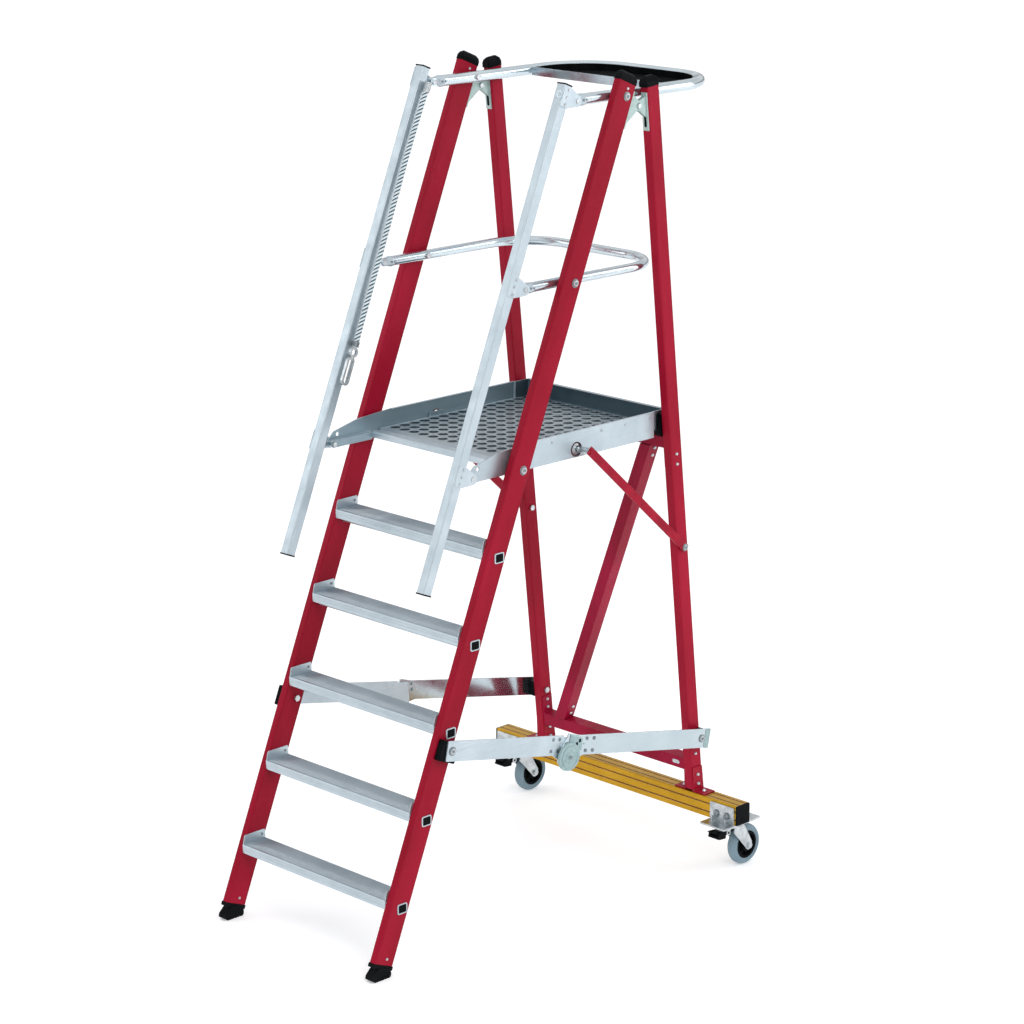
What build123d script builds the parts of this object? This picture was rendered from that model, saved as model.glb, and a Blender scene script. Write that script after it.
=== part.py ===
"""Mobile folding platform step ladder with fibreglass stiles, guard rails and a castor traverse.

Row frame, in millimetres: +Z up, +X to the climber's right, +Y from the steps to the castors.
The origin is on the floor, at the middle of the ladder's footprint.
"""
from build123d import *
from math import atan2, cos, degrees, hypot, radians, sin
import os

os.makedirs("parts", exist_ok=True)

# ---------------------------------------------------------------- driving dimensions
SIDES = (-1, 1)                 # -1 is the left side of the ladder, +1 the right side

# Front frame: two leaning stiles with treads between them
STEP_Y, STEP_Z = -622.75, 188.2  # centre of the lowest tread's tube
STEP_PITCH = 250.0              # tread spacing measured along the stile
STEP_COUNT = 5
FRONT_LEAN = 22.15              # stile's angle from the vertical
STILE_IN, STILE_OUT = 301.5, 324.0
STILE_FRONT, STILE_REAR = -45.2, 25.3   # stile faces, measured square to the tread line
STILE_WALL = 3.5
STILE_FOOT, STILE_TOP = -163.0, 2359.0  # stile ends, measured along it from the lowest tread

# Treads, measured from the centre of each tread's tube
TREAD_FRONT, TREAD_BACK, TREAD_TOP, TREAD_LIP = -42.5, 41.5, 28.0, 2.0
TREAD_TUBE_Y, TREAD_TUBE_Z = 34.0, 28.0
TREAD_WALL = 2.5

# Rear frame: two stiles that lean forwards, standing on the traverse
REAR_Y, REAR_Z = 596.35, 200.0  # a point on the rear stiles' centre line
REAR_LEAN = 6.275
REAR_IN, REAR_OUT = 296.5, 325.5
REAR_DEPTH = 47.0
REAR_FOOT, REAR_TOP = 26.0, 2171.0      # stile ends, measured along it
HINGE_Y, HINGE_Z = 304.25, 2307.0       # pin that joins front and rear frames

# Guard rails and posts: a parallel linkage in front of the stiles
PLATFORM_PIVOT = 1250.0         # pivots on the tread line, measured along the stile
MID_PIVOT = 1786.0
TOP_PIVOT = 2322.0
LINK = 168.0                    # level distance from a stile pivot to its post pivot
POST_X, POST_SIZE, POST_WALL = 280.5, 30.0, 2.5
POST_BACKSET = 48.5             # post centre line ahead of its pivot line
POST_FOOT, POST_TOP = -336.0, 1101.0    # post ends, measured along it from the platform pivot
RAIL_X = 279.5
MID_TUBE, TOP_TUBE = 28.0, 32.0
MID_REAR, MID_BEND = 472.0, 150.0
TOP_REAR, TOP_BEND = 714.0, 178.0

# Platform
PANEL_OUT, PANEL_SHEET = 288.0, 3.0
PANEL_TOP, PANEL_FOOT, PANEL_BACK = 1409.0, 1333.0, 421.0
DECK_TOP, DECK_FRONT, DECK_BACK = 1358.0, -172.75, 482.0
STUB_Y, STUB_Z = 109.25, 1354.0         # round stubs that carry the struts' tops
STUB_R, STUB_NECK_R = 10.0, 6.5         # neck where a stub passes through its panel
STRUT_Y, STRUT_Z = 508.83, 996.0        # strut pivots on the rear stiles

# Spreaders, one outside each pair of stiles
SPREAD_FRONT = 454.0            # front pivot, on the tread line
SPREAD_REAR_Y, SPREAD_REAR_Z = 575.13, 393.0
JOINT_Y, JOINT_Z = 0.25, 481.0
BAR_HEIGHT = 58.0
INNER_BAR, OUTER_BAR, BAR_THICK = 344.8, 350.0, 4.5

# Traverse and castors
BEAM_FRONT, BEAM_BACK, BEAM_FOOT, BEAM_TOP = 565.0, 622.25, 156.0, 218.0
BEAM_HALF, BEAM_CAP = 503.0, 5.0
CASTOR_X, CASTOR_Y = 451.6, 615.6     # swivel axes
TRAIL = 46.5                    # wheel axle behind the swivel axis
WHEEL_R, WHEEL_W = 62.5, 32.0
PLATE_Z, PLATE_THICK = 150.6, 5.4

# Fasteners
BOLT_R, HOLE_R = 5.0, 5.05
PIN_R, PIN_HOLE_R = 4.0, 4.05


# ---------------------------------------------------------------- placing helpers
def side_plane(x, y=0.0, z=0.0, turn=0.0):
    """Plane facing +X whose first local axis is +Y turned up by an angle."""
    c, s = cos(radians(turn)), sin(radians(turn))
    return Plane(origin=(x, y, z), x_dir=(0, c, s), z_dir=(1, 0, 0))


def front_plane(x):
    """Side plane of the front stiles: local x to the rear, local y up along the stile."""
    return side_plane(x, STEP_Y, STEP_Z, -FRONT_LEAN)


def rear_plane(x):
    """Side plane of the rear stiles: local x to the rear, local y up along the stile."""
    return side_plane(x, REAR_Y, REAR_Z, REAR_LEAN)


def front_point(along, back=0.0):
    """(y, z) of a point given along the tread line and square to it."""
    c, s = cos(radians(FRONT_LEAN)), sin(radians(FRONT_LEAN))
    return STEP_Y + along * s + back * c, STEP_Z + along * c - back * s


def front_local(y, z):
    """(back, along) of a point in the front stiles' plane."""
    c, s = cos(radians(FRONT_LEAN)), sin(radians(FRONT_LEAN))
    dy, dz = y - STEP_Y, z - STEP_Z
    return dy * c - dz * s, dy * s + dz * c


def rear_point(along, back=0.0):
    """(y, z) of a point given along the rear stile and square to it."""
    c, s = cos(radians(REAR_LEAN)), sin(radians(REAR_LEAN))
    return REAR_Y - along * s + back * c, REAR_Z + along * c + back * s


def rear_local(y, z):
    """(back, along) of a point in the rear stiles' plane."""
    c, s = cos(radians(REAR_LEAN)), sin(radians(REAR_LEAN))
    dy, dz = y - REAR_Y, z - REAR_Z
    return dy * c + dz * s, -dy * s + dz * c


def side_disc(x0, x1, y, z, radius, mode=Mode.ADD):
    """Round bar along X between two x positions, in the open part."""
    with BuildSketch(side_plane(x0, y, z)) as outline:
        Circle(radius)
    extrude(outline.sketch, amount=x1 - x0, mode=mode)


def side_bolt(side, head_x, end_x, y, z, radius, head_r, head_h):
    """Bolt along X with a domed head standing outwards from head_x and its end at end_x."""
    with BuildSketch(side_plane(side * end_x, y, z)) as shank:
        Circle(radius)
    extrude(shank.sketch, amount=side * (head_x - end_x))
    with BuildSketch(side_plane(side * head_x, y, z)) as head:
        Circle(head_r)
    extrude(head.sketch, amount=side * head_h, taper=18)


def side_nut(side, x0, x1, y, z, across):
    """Hexagon nut along X, as an extra width on a bolt's shank."""
    with BuildSketch(side_plane(side * x0, y, z)) as outline:
        RegularPolygon(across / 2, 6, major_radius=False)
    extrude(outline.sketch, amount=side * (x1 - x0))


def save(builder, label):
    """Label a finished piece and write it as STEP."""
    builder.part.label = label
    export_step(builder.part, f"parts/{label}.step")


PLATFORM_Y, PLATFORM_Z = front_point(PLATFORM_PIVOT)
MID_Y, MID_Z = front_point(MID_PIVOT)
TOP_Y, TOP_Z = front_point(TOP_PIVOT)
SPREAD_Y, SPREAD_Z = front_point(SPREAD_FRONT)
SIDE_NAME = {-1: "left", 1: "right"}


# ---------------------------------------------------------------- front frame
def front_stile(side):
    """Hollow fibreglass stile with holes for tread tubes and pivot bolts."""
    foot_y, foot_z = front_point(STILE_FOOT)
    lean = radians(FRONT_LEAN)
    section = Plane(origin=(0, foot_y, foot_z), x_dir=(1, 0, 0), z_dir=(0, sin(lean), cos(lean)))
    middle = ((STILE_IN + STILE_OUT) / 2 * side, (STILE_FRONT + STILE_REAR) / 2)
    width, depth = STILE_OUT - STILE_IN, STILE_REAR - STILE_FRONT
    with BuildPart() as stile:
        with BuildSketch(section):
            with Locations(middle):
                RectangleRounded(width, depth, 3.0)
                RectangleRounded(width - 2 * STILE_WALL, depth - 2 * STILE_WALL, 1.5, mode=Mode.SUBTRACT)
        extrude(amount=STILE_TOP - STILE_FOOT)
        for step in range(STEP_COUNT):
            y, z = front_point(step * STEP_PITCH)
            with BuildSketch(side_plane(side * (STILE_IN - 5), y, z)):
                RectangleRounded(TREAD_TUBE_Y + 0.2, TREAD_TUBE_Z + 0.2, 5.1)
            extrude(amount=side * (width + 10), mode=Mode.SUBTRACT)
        for along in (SPREAD_FRONT, PLATFORM_PIVOT, MID_PIVOT, TOP_PIVOT):
            y, z = front_point(along)
            side_disc(side * (STILE_IN - 5), side * (STILE_OUT + 5), y, z, HOLE_R, Mode.SUBTRACT)
    return stile


for side in SIDES:
    save(front_stile(side), f"front_stile_{SIDE_NAME[side]}")


def tread(y, z):
    """Grooved aluminium tread on a tube that passes through both stiles."""
    flange_out, flange_thick, flange_top = STILE_IN - 0.3, 2.2, 54.0
    groove_count, groove_pitch = 15, 5.0
    half = STILE_OUT
    with BuildPart() as step:
        with BuildSketch(side_plane(-flange_out, y, z)):
            plate_z = TREAD_TOP - TREAD_WALL
            with BuildLine():
                Polyline(
                    (TREAD_FRONT, TREAD_LIP), (TREAD_FRONT, TREAD_TOP), (TREAD_BACK, TREAD_TOP),
                    (TREAD_BACK, 10.0), (TREAD_BACK - 3, 10.0), (TREAD_BACK - 3, plate_z),
                    (TREAD_FRONT + 3, plate_z), (TREAD_FRONT + 3, TREAD_LIP), close=True)
            make_face()
            with GridLocations(groove_pitch, 1, groove_count, 1):
                with Locations((2.0, TREAD_TOP)):
                    Rectangle(2.0, 1.8, mode=Mode.SUBTRACT)
            with Locations((TREAD_FRONT, TREAD_TOP - 8), (TREAD_FRONT, TREAD_TOP - 15)):
                Rectangle(1.6, 2.0, mode=Mode.SUBTRACT)
            web = TREAD_TOP - TREAD_WALL / 2 - TREAD_TUBE_Z / 2 + 1
            for web_y in (-TREAD_TUBE_Y / 2 + 5.5, TREAD_TUBE_Y / 2 - 5.5):
                with Locations((web_y, TREAD_TUBE_Z / 2 - 1 + web / 2)):
                    Rectangle(TREAD_WALL, web)
        extrude(amount=2 * flange_out)
        with BuildSketch(side_plane(-half, y, z)):
            RectangleRounded(TREAD_TUBE_Y, TREAD_TUBE_Z, 5.0)
            RectangleRounded(TREAD_TUBE_Y - 6, TREAD_TUBE_Z - 6, 3.0, mode=Mode.SUBTRACT)
        extrude(amount=2 * half)
        for end in SIDES:
            with BuildSketch(side_plane(end * half, y, z)):
                RectangleRounded(TREAD_TUBE_Y + 3, TREAD_TUBE_Z + 3, 6.5)
                RectangleRounded(TREAD_TUBE_Y - 6, TREAD_TUBE_Z - 6, 3.0, mode=Mode.SUBTRACT)
            extrude(amount=end * 2.2, taper=20)
            with BuildSketch(side_plane(end * (flange_out - flange_thick), y, z)):
                with BuildLine():
                    Polyline(
                        (TREAD_FRONT + 1, TREAD_TOP - 2), (TREAD_FRONT + 6, flange_top - 4),
                        (TREAD_FRONT + 10, flange_top), (TREAD_BACK - 4, flange_top + 1),
                        (TREAD_BACK, flange_top - 3), (TREAD_BACK, TREAD_TOP - 2), close=True)
                make_face()
            extrude(amount=end * flange_thick)
    return step


for number in range(STEP_COUNT):
    save(tread(*front_point(number * STEP_PITCH)), f"tread_{number + 1}")

with BuildPart() as tread_plugs:
    for number in range(STEP_COUNT):
        plug_y, plug_z = front_point(number * STEP_PITCH)
        for side in SIDES:
            with BuildSketch(side_plane(side * (STILE_OUT - 7), plug_y, plug_z)):
                RectangleRounded(TREAD_TUBE_Y - 6.1, TREAD_TUBE_Z - 6.1, 2.9)
            extrude(amount=side * 8.6)
save(tread_plugs, "tread_plugs")

with BuildPart() as frame_rivets:
    rivet_r, rivet_h = 4.2, 2.0
    for side in SIDES:
        for number in range(STEP_COUNT):
            step_y, step_z = front_point(number * STEP_PITCH)
            with BuildSketch(side_plane(side * (STILE_IN - 2.5), step_y + 29, step_z + 42)):
                Circle(rivet_r)
            extrude(amount=-side * rivet_h, taper=30)
        for along in (STILE_FOOT + 18, STILE_TOP - 16):
            rivet_y, rivet_z = front_point(along, -4)
            for face, outward in ((STILE_OUT, side), (STILE_IN, -side)):
                with BuildSketch(side_plane(side * face, rivet_y, rivet_z)):
                    Circle(rivet_r)
                extrude(amount=outward * rivet_h, taper=30)
save(frame_rivets, "frame_rivets")


def front_foot(side):
    """Rubber shoe: a collar square to the stile over a sole that lies flat on the floor."""
    middle = side * (STILE_IN + STILE_OUT) / 2
    collar_half, shoe_half = 12.5, 14.5
    with BuildPart() as foot:
        with BuildSketch(front_plane(middle)):
            with Locations(((STILE_FRONT + STILE_REAR) / 2, STILE_FOOT - 6.2)):
                RectangleRounded(STILE_REAR - STILE_FRONT + 2, 12.0, 2.0)
        extrude(amount=collar_half, both=True)
        with BuildSketch(front_plane(middle)):
            with Locations(((STILE_FRONT + STILE_REAR) / 2 + 3, STILE_FOOT - 16)):
                Rectangle(STILE_REAR - STILE_FRONT - 14, 14.0)
        extrude(amount=collar_half - 2, both=True)
        with BuildSketch(side_plane(middle)):
            with BuildLine():
                Polyline(
                    (-728.0, 0.0), (-739.75, 8.0), (-738.0, 18.0), (-722.0, 34.0),
                    (-712.0, 38.0), (-676.0, 24.0), (-669.0, 16.0), (-669.0, 6.0),
                    (-674.0, 0.0), close=True)
            make_face()
        extrude(amount=shoe_half, both=True)
        for groove in range(5):
            with BuildSketch(side_plane(middle, -724.0 + 10 * groove, 0.0)):
                Rectangle(3.0, 5.0)
            extrude(amount=shoe_half + 1, both=True, mode=Mode.SUBTRACT)
    return foot


for side in SIDES:
    save(front_foot(side), f"front_foot_{SIDE_NAME[side]}")


def stile_cap(plane, middle_x, middle_back, width, depth, height):
    """Domed plastic cap on a stile's top end, in the open part."""
    for start, rise, shrink, slope in ((0.0, 0.45, 0.0, 0), (0.45, 0.35, 0.0, 25), (0.8, 0.2, 0.35, 50)):
        with BuildSketch(plane.offset(height * start)) as outline:
            with Locations((middle_x, middle_back)):
                RectangleRounded(width - height * shrink, depth - height * shrink, 5.0 - 4 * shrink)
        extrude(outline.sketch, amount=height * rise, taper=slope)


with BuildPart() as front_stile_caps:
    cap_y, cap_z = front_point(STILE_TOP + 0.1)
    lean = radians(FRONT_LEAN)
    cap_plane = Plane(origin=(0, cap_y, cap_z), x_dir=(1, 0, 0), z_dir=(0, sin(lean), cos(lean)))
    for side in SIDES:
        stile_cap(cap_plane, side * (STILE_IN + STILE_OUT) / 2, (STILE_FRONT + STILE_REAR) / 2, 25.5, 74.0, 28)
save(front_stile_caps, "front_stile_caps")

# ---------------------------------------------------------------- top hinge
PIN_BACK, PIN_ALONG = front_local(HINGE_Y, HINGE_Z)
PIN_REAR_BACK, PIN_REAR_ALONG = rear_local(HINGE_Y, HINGE_Z)
HINGE_MID = (STILE_IN + STILE_OUT) / 2
EAR = 3.6

with BuildPart() as front_hinge_plates:
    for side in SIDES:
        with BuildSketch(front_plane(side * (HINGE_MID - 10))):
            with Locations((STILE_REAR + 2.1, PIN_ALONG - 22)):
                Rectangle(4.0, 108.0)
        extrude(amount=side * 20)
        for ear_x in (-10.0, 10.0 - EAR):
            with BuildSketch(front_plane(side * (HINGE_MID + ear_x))):
                with BuildLine():
                    Polyline(
                        (STILE_REAR + 4, PIN_ALONG + 20), (PIN_BACK, PIN_ALONG + 12),
                        (PIN_BACK, PIN_ALONG - 12), (STILE_REAR + 4, PIN_ALONG - 60), close=True)
                make_face()
                with Locations((PIN_BACK, PIN_ALONG)):
                    Circle(12.0)
            extrude(amount=side * EAR)
        side_disc(side * (HINGE_MID - 15), side * (HINGE_MID + 15), HINGE_Y, HINGE_Z, HOLE_R, Mode.SUBTRACT)
save(front_hinge_plates, "front_hinge_plates")

with BuildPart() as rear_hinge_plates:
    for side in SIDES:
        with BuildSketch(rear_plane(side * (HINGE_MID - 10))):
            with Locations((-REAR_DEPTH / 2 - 2.1, PIN_REAR_ALONG - 24)):
                Rectangle(4.0, 108.0)
        extrude(amount=side * 20)
        for ear_x in (-6.0, 6.0 - EAR):
            with BuildSketch(rear_plane(side * (HINGE_MID + ear_x))):
                with BuildLine():
                    Polyline(
                        (-REAR_DEPTH / 2 - 4, PIN_REAR_ALONG + 20), (PIN_REAR_BACK, PIN_REAR_ALONG + 12),
                        (PIN_REAR_BACK, PIN_REAR_ALONG - 12),
                        (-REAR_DEPTH / 2 - 4, PIN_REAR_ALONG - 40), close=True)
                make_face()
                with Locations((PIN_REAR_BACK, PIN_REAR_ALONG)):
                    Circle(12.0)
            extrude(amount=side * EAR)
        side_disc(side * (HINGE_MID - 15), side * (HINGE_MID + 15), HINGE_Y, HINGE_Z, HOLE_R, Mode.SUBTRACT)
save(rear_hinge_plates, "rear_hinge_plates")

with BuildPart() as front_pivot_bolts:
    for side in SIDES:
        side_bolt(side, HINGE_MID + 10.1, HINGE_MID - 10.1, HINGE_Y, HINGE_Z, BOLT_R, 8.5, 4.5)
        side_bolt(-side, -HINGE_MID + 10.1, -HINGE_MID + 6, HINGE_Y, HINGE_Z, BOLT_R, 8.5, 4.5)
        side_bolt(side, STILE_OUT + 0.1, PANEL_OUT - 6, PLATFORM_Y, PLATFORM_Z, BOLT_R, 10.5, 5.0)
        side_disc(side * (PANEL_OUT + 0.4), side * (STILE_IN - 0.2), PLATFORM_Y, PLATFORM_Z, 9.5)
        side_nut(side, PANEL_OUT - 12, PANEL_OUT - 3.4, PLATFORM_Y, PLATFORM_Z, 16)
        for rail_y, rail_z, tube in ((MID_Y, MID_Z, MID_TUBE), (TOP_Y, TOP_Z, TOP_TUBE)):
            rail_in, rail_out = RAIL_X - tube / 2, RAIL_X + tube / 2
            side_bolt(side, STILE_OUT + 0.1, rail_in - 2, rail_y, rail_z, BOLT_R, 10.0, 5.0)
            side_disc(side * (rail_out + 0.3), side * (STILE_IN - 0.2), rail_y, rail_z, 9.0)
            side_nut(side, rail_in - 7, rail_in - 0.5, rail_y, rail_z, 16)
        side_bolt(side, INNER_BAR + BAR_THICK + 0.2, STILE_IN - 0.2, SPREAD_Y, SPREAD_Z, BOLT_R, 10.0, 4.0)
        side_nut(side, STILE_IN - 7, STILE_IN - 0.1, SPREAD_Y, SPREAD_Z, 17)
save(front_pivot_bolts, "front_pivot_bolts")

with BuildPart() as spreader_front_blocks:
    for side in SIDES:
        with BuildSketch(front_plane(side * (STILE_OUT + 0.1))):
            with Locations((-6.0, SPREAD_FRONT - 5)):
                RectangleRounded(62.0, 58.0, 4.0)
        extrude(amount=side * (INNER_BAR - STILE_OUT - 0.4))
        side_disc(side * STILE_OUT, side * INNER_BAR, SPREAD_Y, SPREAD_Z, HOLE_R, Mode.SUBTRACT)
save(spreader_front_blocks, "spreader_front_blocks")


# ---------------------------------------------------------------- rear frame
def rear_stile(side):
    """Hollow fibreglass stile of the rear frame with holes for its pivot bolts."""
    foot_y, foot_z = rear_point(REAR_FOOT)
    lean = radians(REAR_LEAN)
    section = Plane(origin=(0, foot_y, foot_z), x_dir=(1, 0, 0), z_dir=(0, -sin(lean), cos(lean)))
    width = REAR_OUT - REAR_IN
    with BuildPart() as stile:
        with BuildSketch(section):
            with Locations((side * (REAR_IN + REAR_OUT) / 2, 0)):
                RectangleRounded(width, REAR_DEPTH, 3.0)
                RectangleRounded(width - 7, REAR_DEPTH - 7, 1.5, mode=Mode.SUBTRACT)
        extrude(amount=REAR_TOP - REAR_FOOT)
        for y, z in ((STRUT_Y, STRUT_Z), (SPREAD_REAR_Y, SPREAD_REAR_Z)):
            side_disc(side * (REAR_IN - 5), side * (REAR_OUT + 5), y, z, HOLE_R, Mode.SUBTRACT)
    return stile


for side in SIDES:
    save(rear_stile(side), f"rear_stile_{SIDE_NAME[side]}")

with BuildPart() as rear_stile_caps:
    cap_y, cap_z = rear_point(REAR_TOP + 0.1)
    lean = radians(REAR_LEAN)
    cap_plane = Plane(origin=(0, cap_y, cap_z), x_dir=(1, 0, 0), z_dir=(0, -sin(lean), cos(lean)))
    for side in SIDES:
        stile_cap(cap_plane, side * (REAR_IN + REAR_OUT) / 2, -2, 30.5, 54.0, 29)
save(rear_stile_caps, "rear_stile_caps")

UPPER_BAR_FOOT, UPPER_BAR_TOP = 1106.0, 1139.5      # measured along the rear stile
LOWER_BAR_FOOT, LOWER_BAR_TOP = 84.5, 121.5
CROSS_HALF = REAR_IN - 0.2


def cross_channel(foot, top, depth, plate_foot, plate_top):
    """Channel between the rear stiles, open to the rear, with an end plate at each stile."""
    with BuildSketch(rear_plane(-CROSS_HALF)) as channel:
        with Locations((0, (foot + top) / 2)):
            Rectangle(depth, top - foot)
        with Locations((4.0, (foot + top) / 2)):
            Rectangle(depth, top - foot - 7, mode=Mode.SUBTRACT)
    extrude(channel.sketch, amount=2 * CROSS_HALF)
    for end in SIDES:
        with BuildSketch(rear_plane(end * (CROSS_HALF - 3))) as end_plate:
            with Locations((0, (plate_foot + plate_top) / 2)):
                Rectangle(depth, plate_top - plate_foot)
        extrude(end_plate.sketch, amount=end * 3)


with BuildPart() as upper_crossbar:
    cross_channel(UPPER_BAR_FOOT, UPPER_BAR_TOP, 38.0, UPPER_BAR_FOOT - 60, UPPER_BAR_TOP)
save(upper_crossbar, "upper_crossbar")

with BuildPart() as lower_crossbar:
    cross_channel(LOWER_BAR_FOOT, LOWER_BAR_TOP, 40.0, LOWER_BAR_FOOT, LOWER_BAR_TOP + 54)
save(lower_crossbar, "lower_crossbar")

BRACE_FOOT, BRACE_TOP = (-224.0, LOWER_BAR_TOP + 1), (223.0, UPPER_BAR_FOOT - 1)
BRACE_WIDTH, BRACE_DEPTH, BRACE_WALL = 40.0, 44.0, 4.0
with BuildPart() as diagonal_brace:
    lean = radians(REAR_LEAN)
    face_y, face_z = rear_point(0, -BRACE_DEPTH / 2)
    brace_face = Plane(origin=(0, face_y, face_z), x_dir=(1, 0, 0), z_dir=(0, -cos(lean), -sin(lean)))
    for inset, overrun, mode in ((0.0, 0.0, Mode.ADD), (BRACE_WALL, 5.0, Mode.SUBTRACT)):
        half = BRACE_WIDTH / 2 - inset
        with BuildSketch(brace_face.offset(-inset)):
            with BuildLine():
                Polyline(
                    (BRACE_FOOT[0] - half, BRACE_FOOT[1] - overrun), (BRACE_FOOT[0] + half, BRACE_FOOT[1] - overrun),
                    (BRACE_TOP[0] + half, BRACE_TOP[1] + overrun), (BRACE_TOP[0] - half, BRACE_TOP[1] + overrun),
                    close=True)
            make_face()
        extrude(amount=-(BRACE_DEPTH - 2 * inset), mode=mode)
save(diagonal_brace, "diagonal_brace")

with BuildPart() as foot_brackets:
    beam_mid = (BEAM_FRONT + BEAM_BACK) / 2
    for side in SIDES:
        for face, outward, reach, rise in ((REAR_OUT, side, 48.0, 76.0), (REAR_IN, -side, 42.0, 64.0)):
            with BuildSketch(side_plane(side * face + outward * 0.1)):
                with BuildLine():
                    Polyline(
                        (beam_mid - 22, BEAM_TOP + 0.1), (beam_mid + 24, BEAM_TOP + 0.1),
                        (beam_mid + 14, BEAM_TOP + rise), (beam_mid - 26, BEAM_TOP + rise), close=True)
                make_face()
            extrude(amount=outward * 3.5)
            with BuildSketch(side_plane(side * face + outward * 0.1, beam_mid, BEAM_TOP + 2.1)):
                Rectangle(46.0, 4.0)
            extrude(amount=outward * reach)
save(foot_brackets, "foot_brackets")


def plane_rivet(plane, x, y, radius=4.6, height=2.6):
    """Domed rivet head standing on a plane, in the open part."""
    with BuildSketch(plane) as outline:
        with Locations((x, y)):
            Circle(radius)
    extrude(outline.sketch, amount=height, taper=28)


with BuildPart() as rear_frame_bolts:
    for side in SIDES:
        plate_inner = CROSS_HALF - 3.1
        for along in (UPPER_BAR_FOOT - 18, UPPER_BAR_FOOT - 49, LOWER_BAR_TOP + 16, LOWER_BAR_TOP + 42):
            for face, outward in ((REAR_OUT + 0.1, side), (plate_inner, -side)):
                with BuildSketch(rear_plane(side * face)):
                    with Locations((0, along)):
                        Circle(5.0)
                extrude(amount=outward * 3.0, taper=25)
        for along in (40.0, 70.0):
            bolt_y, bolt_z = rear_point(along)
            for face, outward in ((REAR_OUT + 3.7, side), (REAR_IN - 3.7, -side)):
                with BuildSketch(side_plane(side * face, bolt_y, bolt_z)):
                    Circle(5.5)
                extrude(amount=outward * 4.0, taper=20)
        bracket_top = Plane.XY.offset(BEAM_TOP + 4.2)
        for bolt_x in (REAR_OUT + 26, REAR_IN - 24):
            plane_rivet(bracket_top, side * bolt_x, beam_mid, 6.5, 4.5)
    run_x, run_along = BRACE_TOP[0] - BRACE_FOOT[0], BRACE_TOP[1] - BRACE_FOOT[1]
    run = hypot(run_x, run_along)
    for (end_x, end_along), way in ((BRACE_FOOT, 1), (BRACE_TOP, -1)):
        edge_y, edge_z = rear_point(end_along)
        brace_side = Plane(
            origin=(end_x + BRACE_WIDTH / 2, edge_y, edge_z), x_dir=(0, cos(lean), sin(lean)),
            z_dir=(run_along / run, run_x / run * sin(lean), -run_x / run * cos(lean)))
        for step in (16.0, 44.0):
            plane_rivet(brace_side.offset(0.1), 4.0, way * step, 5.5, 3.0)
save(rear_frame_bolts, "rear_frame_bolts")

with BuildPart() as rear_pivot_bolts:
    for side in SIDES:
        side_bolt(side, 336.3, REAR_IN - 0.2, STRUT_Y, STRUT_Z, BOLT_R, 8.5, 3.8)
        side_disc(side * (REAR_OUT + 0.1), side * 330.7, STRUT_Y, STRUT_Z, 9.0)
        side_nut(side, REAR_IN - 7, REAR_IN - 0.1, STRUT_Y, STRUT_Z, 16)
        side_bolt(side, OUTER_BAR + BAR_THICK + 0.2, REAR_IN - 0.2, SPREAD_REAR_Y, SPREAD_REAR_Z, BOLT_R, 9.5, 4.0)
        side_nut(side, REAR_IN - 7, REAR_IN - 0.1, SPREAD_REAR_Y, SPREAD_REAR_Z, 17)
save(rear_pivot_bolts, "rear_pivot_bolts")

with BuildPart() as spreader_rear_blocks:
    for side in SIDES:
        with BuildSketch(side_plane(side * (REAR_OUT + 0.1), SPREAD_REAR_Y, SPREAD_REAR_Z)):
            RectangleRounded(50.0, 46.0, 4.0)
        extrude(amount=side * (OUTER_BAR - REAR_OUT - 0.4))
        side_disc(side * REAR_OUT, side * OUTER_BAR, SPREAD_REAR_Y, SPREAD_REAR_Z, HOLE_R, Mode.SUBTRACT)
save(spreader_rear_blocks, "spreader_rear_blocks")

# ---------------------------------------------------------------- traverse
with BuildPart() as traverse:
    beam_y, beam_z = (BEAM_FRONT + BEAM_BACK) / 2, (BEAM_FOOT + BEAM_TOP) / 2
    beam_depth, beam_height = BEAM_BACK - BEAM_FRONT, BEAM_TOP - BEAM_FOOT
    with BuildSketch(side_plane(-BEAM_HALF, beam_y, beam_z)):
        RectangleRounded(beam_depth, beam_height, 2.5)
        RectangleRounded(beam_depth - 20, beam_height - 20, 3.0, mode=Mode.SUBTRACT)
        for slot in (-13.0, 13.0):
            for face in (-1, 1):
                with Locations((slot, face * (beam_height / 2 - 2.5))):
                    Rectangle(5.0, 7.0, mode=Mode.SUBTRACT)
                with Locations((face * (beam_depth / 2 - 2.5), slot)):
                    Rectangle(7.0, 5.0, mode=Mode.SUBTRACT)
    extrude(amount=2 * BEAM_HALF)
save(traverse, "traverse")

with BuildPart() as traverse_end_caps:
    for side in SIDES:
        with BuildSketch(side_plane(side * (BEAM_HALF + 0.1), beam_y, beam_z)):
            RectangleRounded(beam_depth + 1, beam_height - 0.5, 3.5)
        extrude(amount=side * BEAM_CAP, taper=8)
save(traverse_end_caps, "traverse_end_caps")

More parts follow.
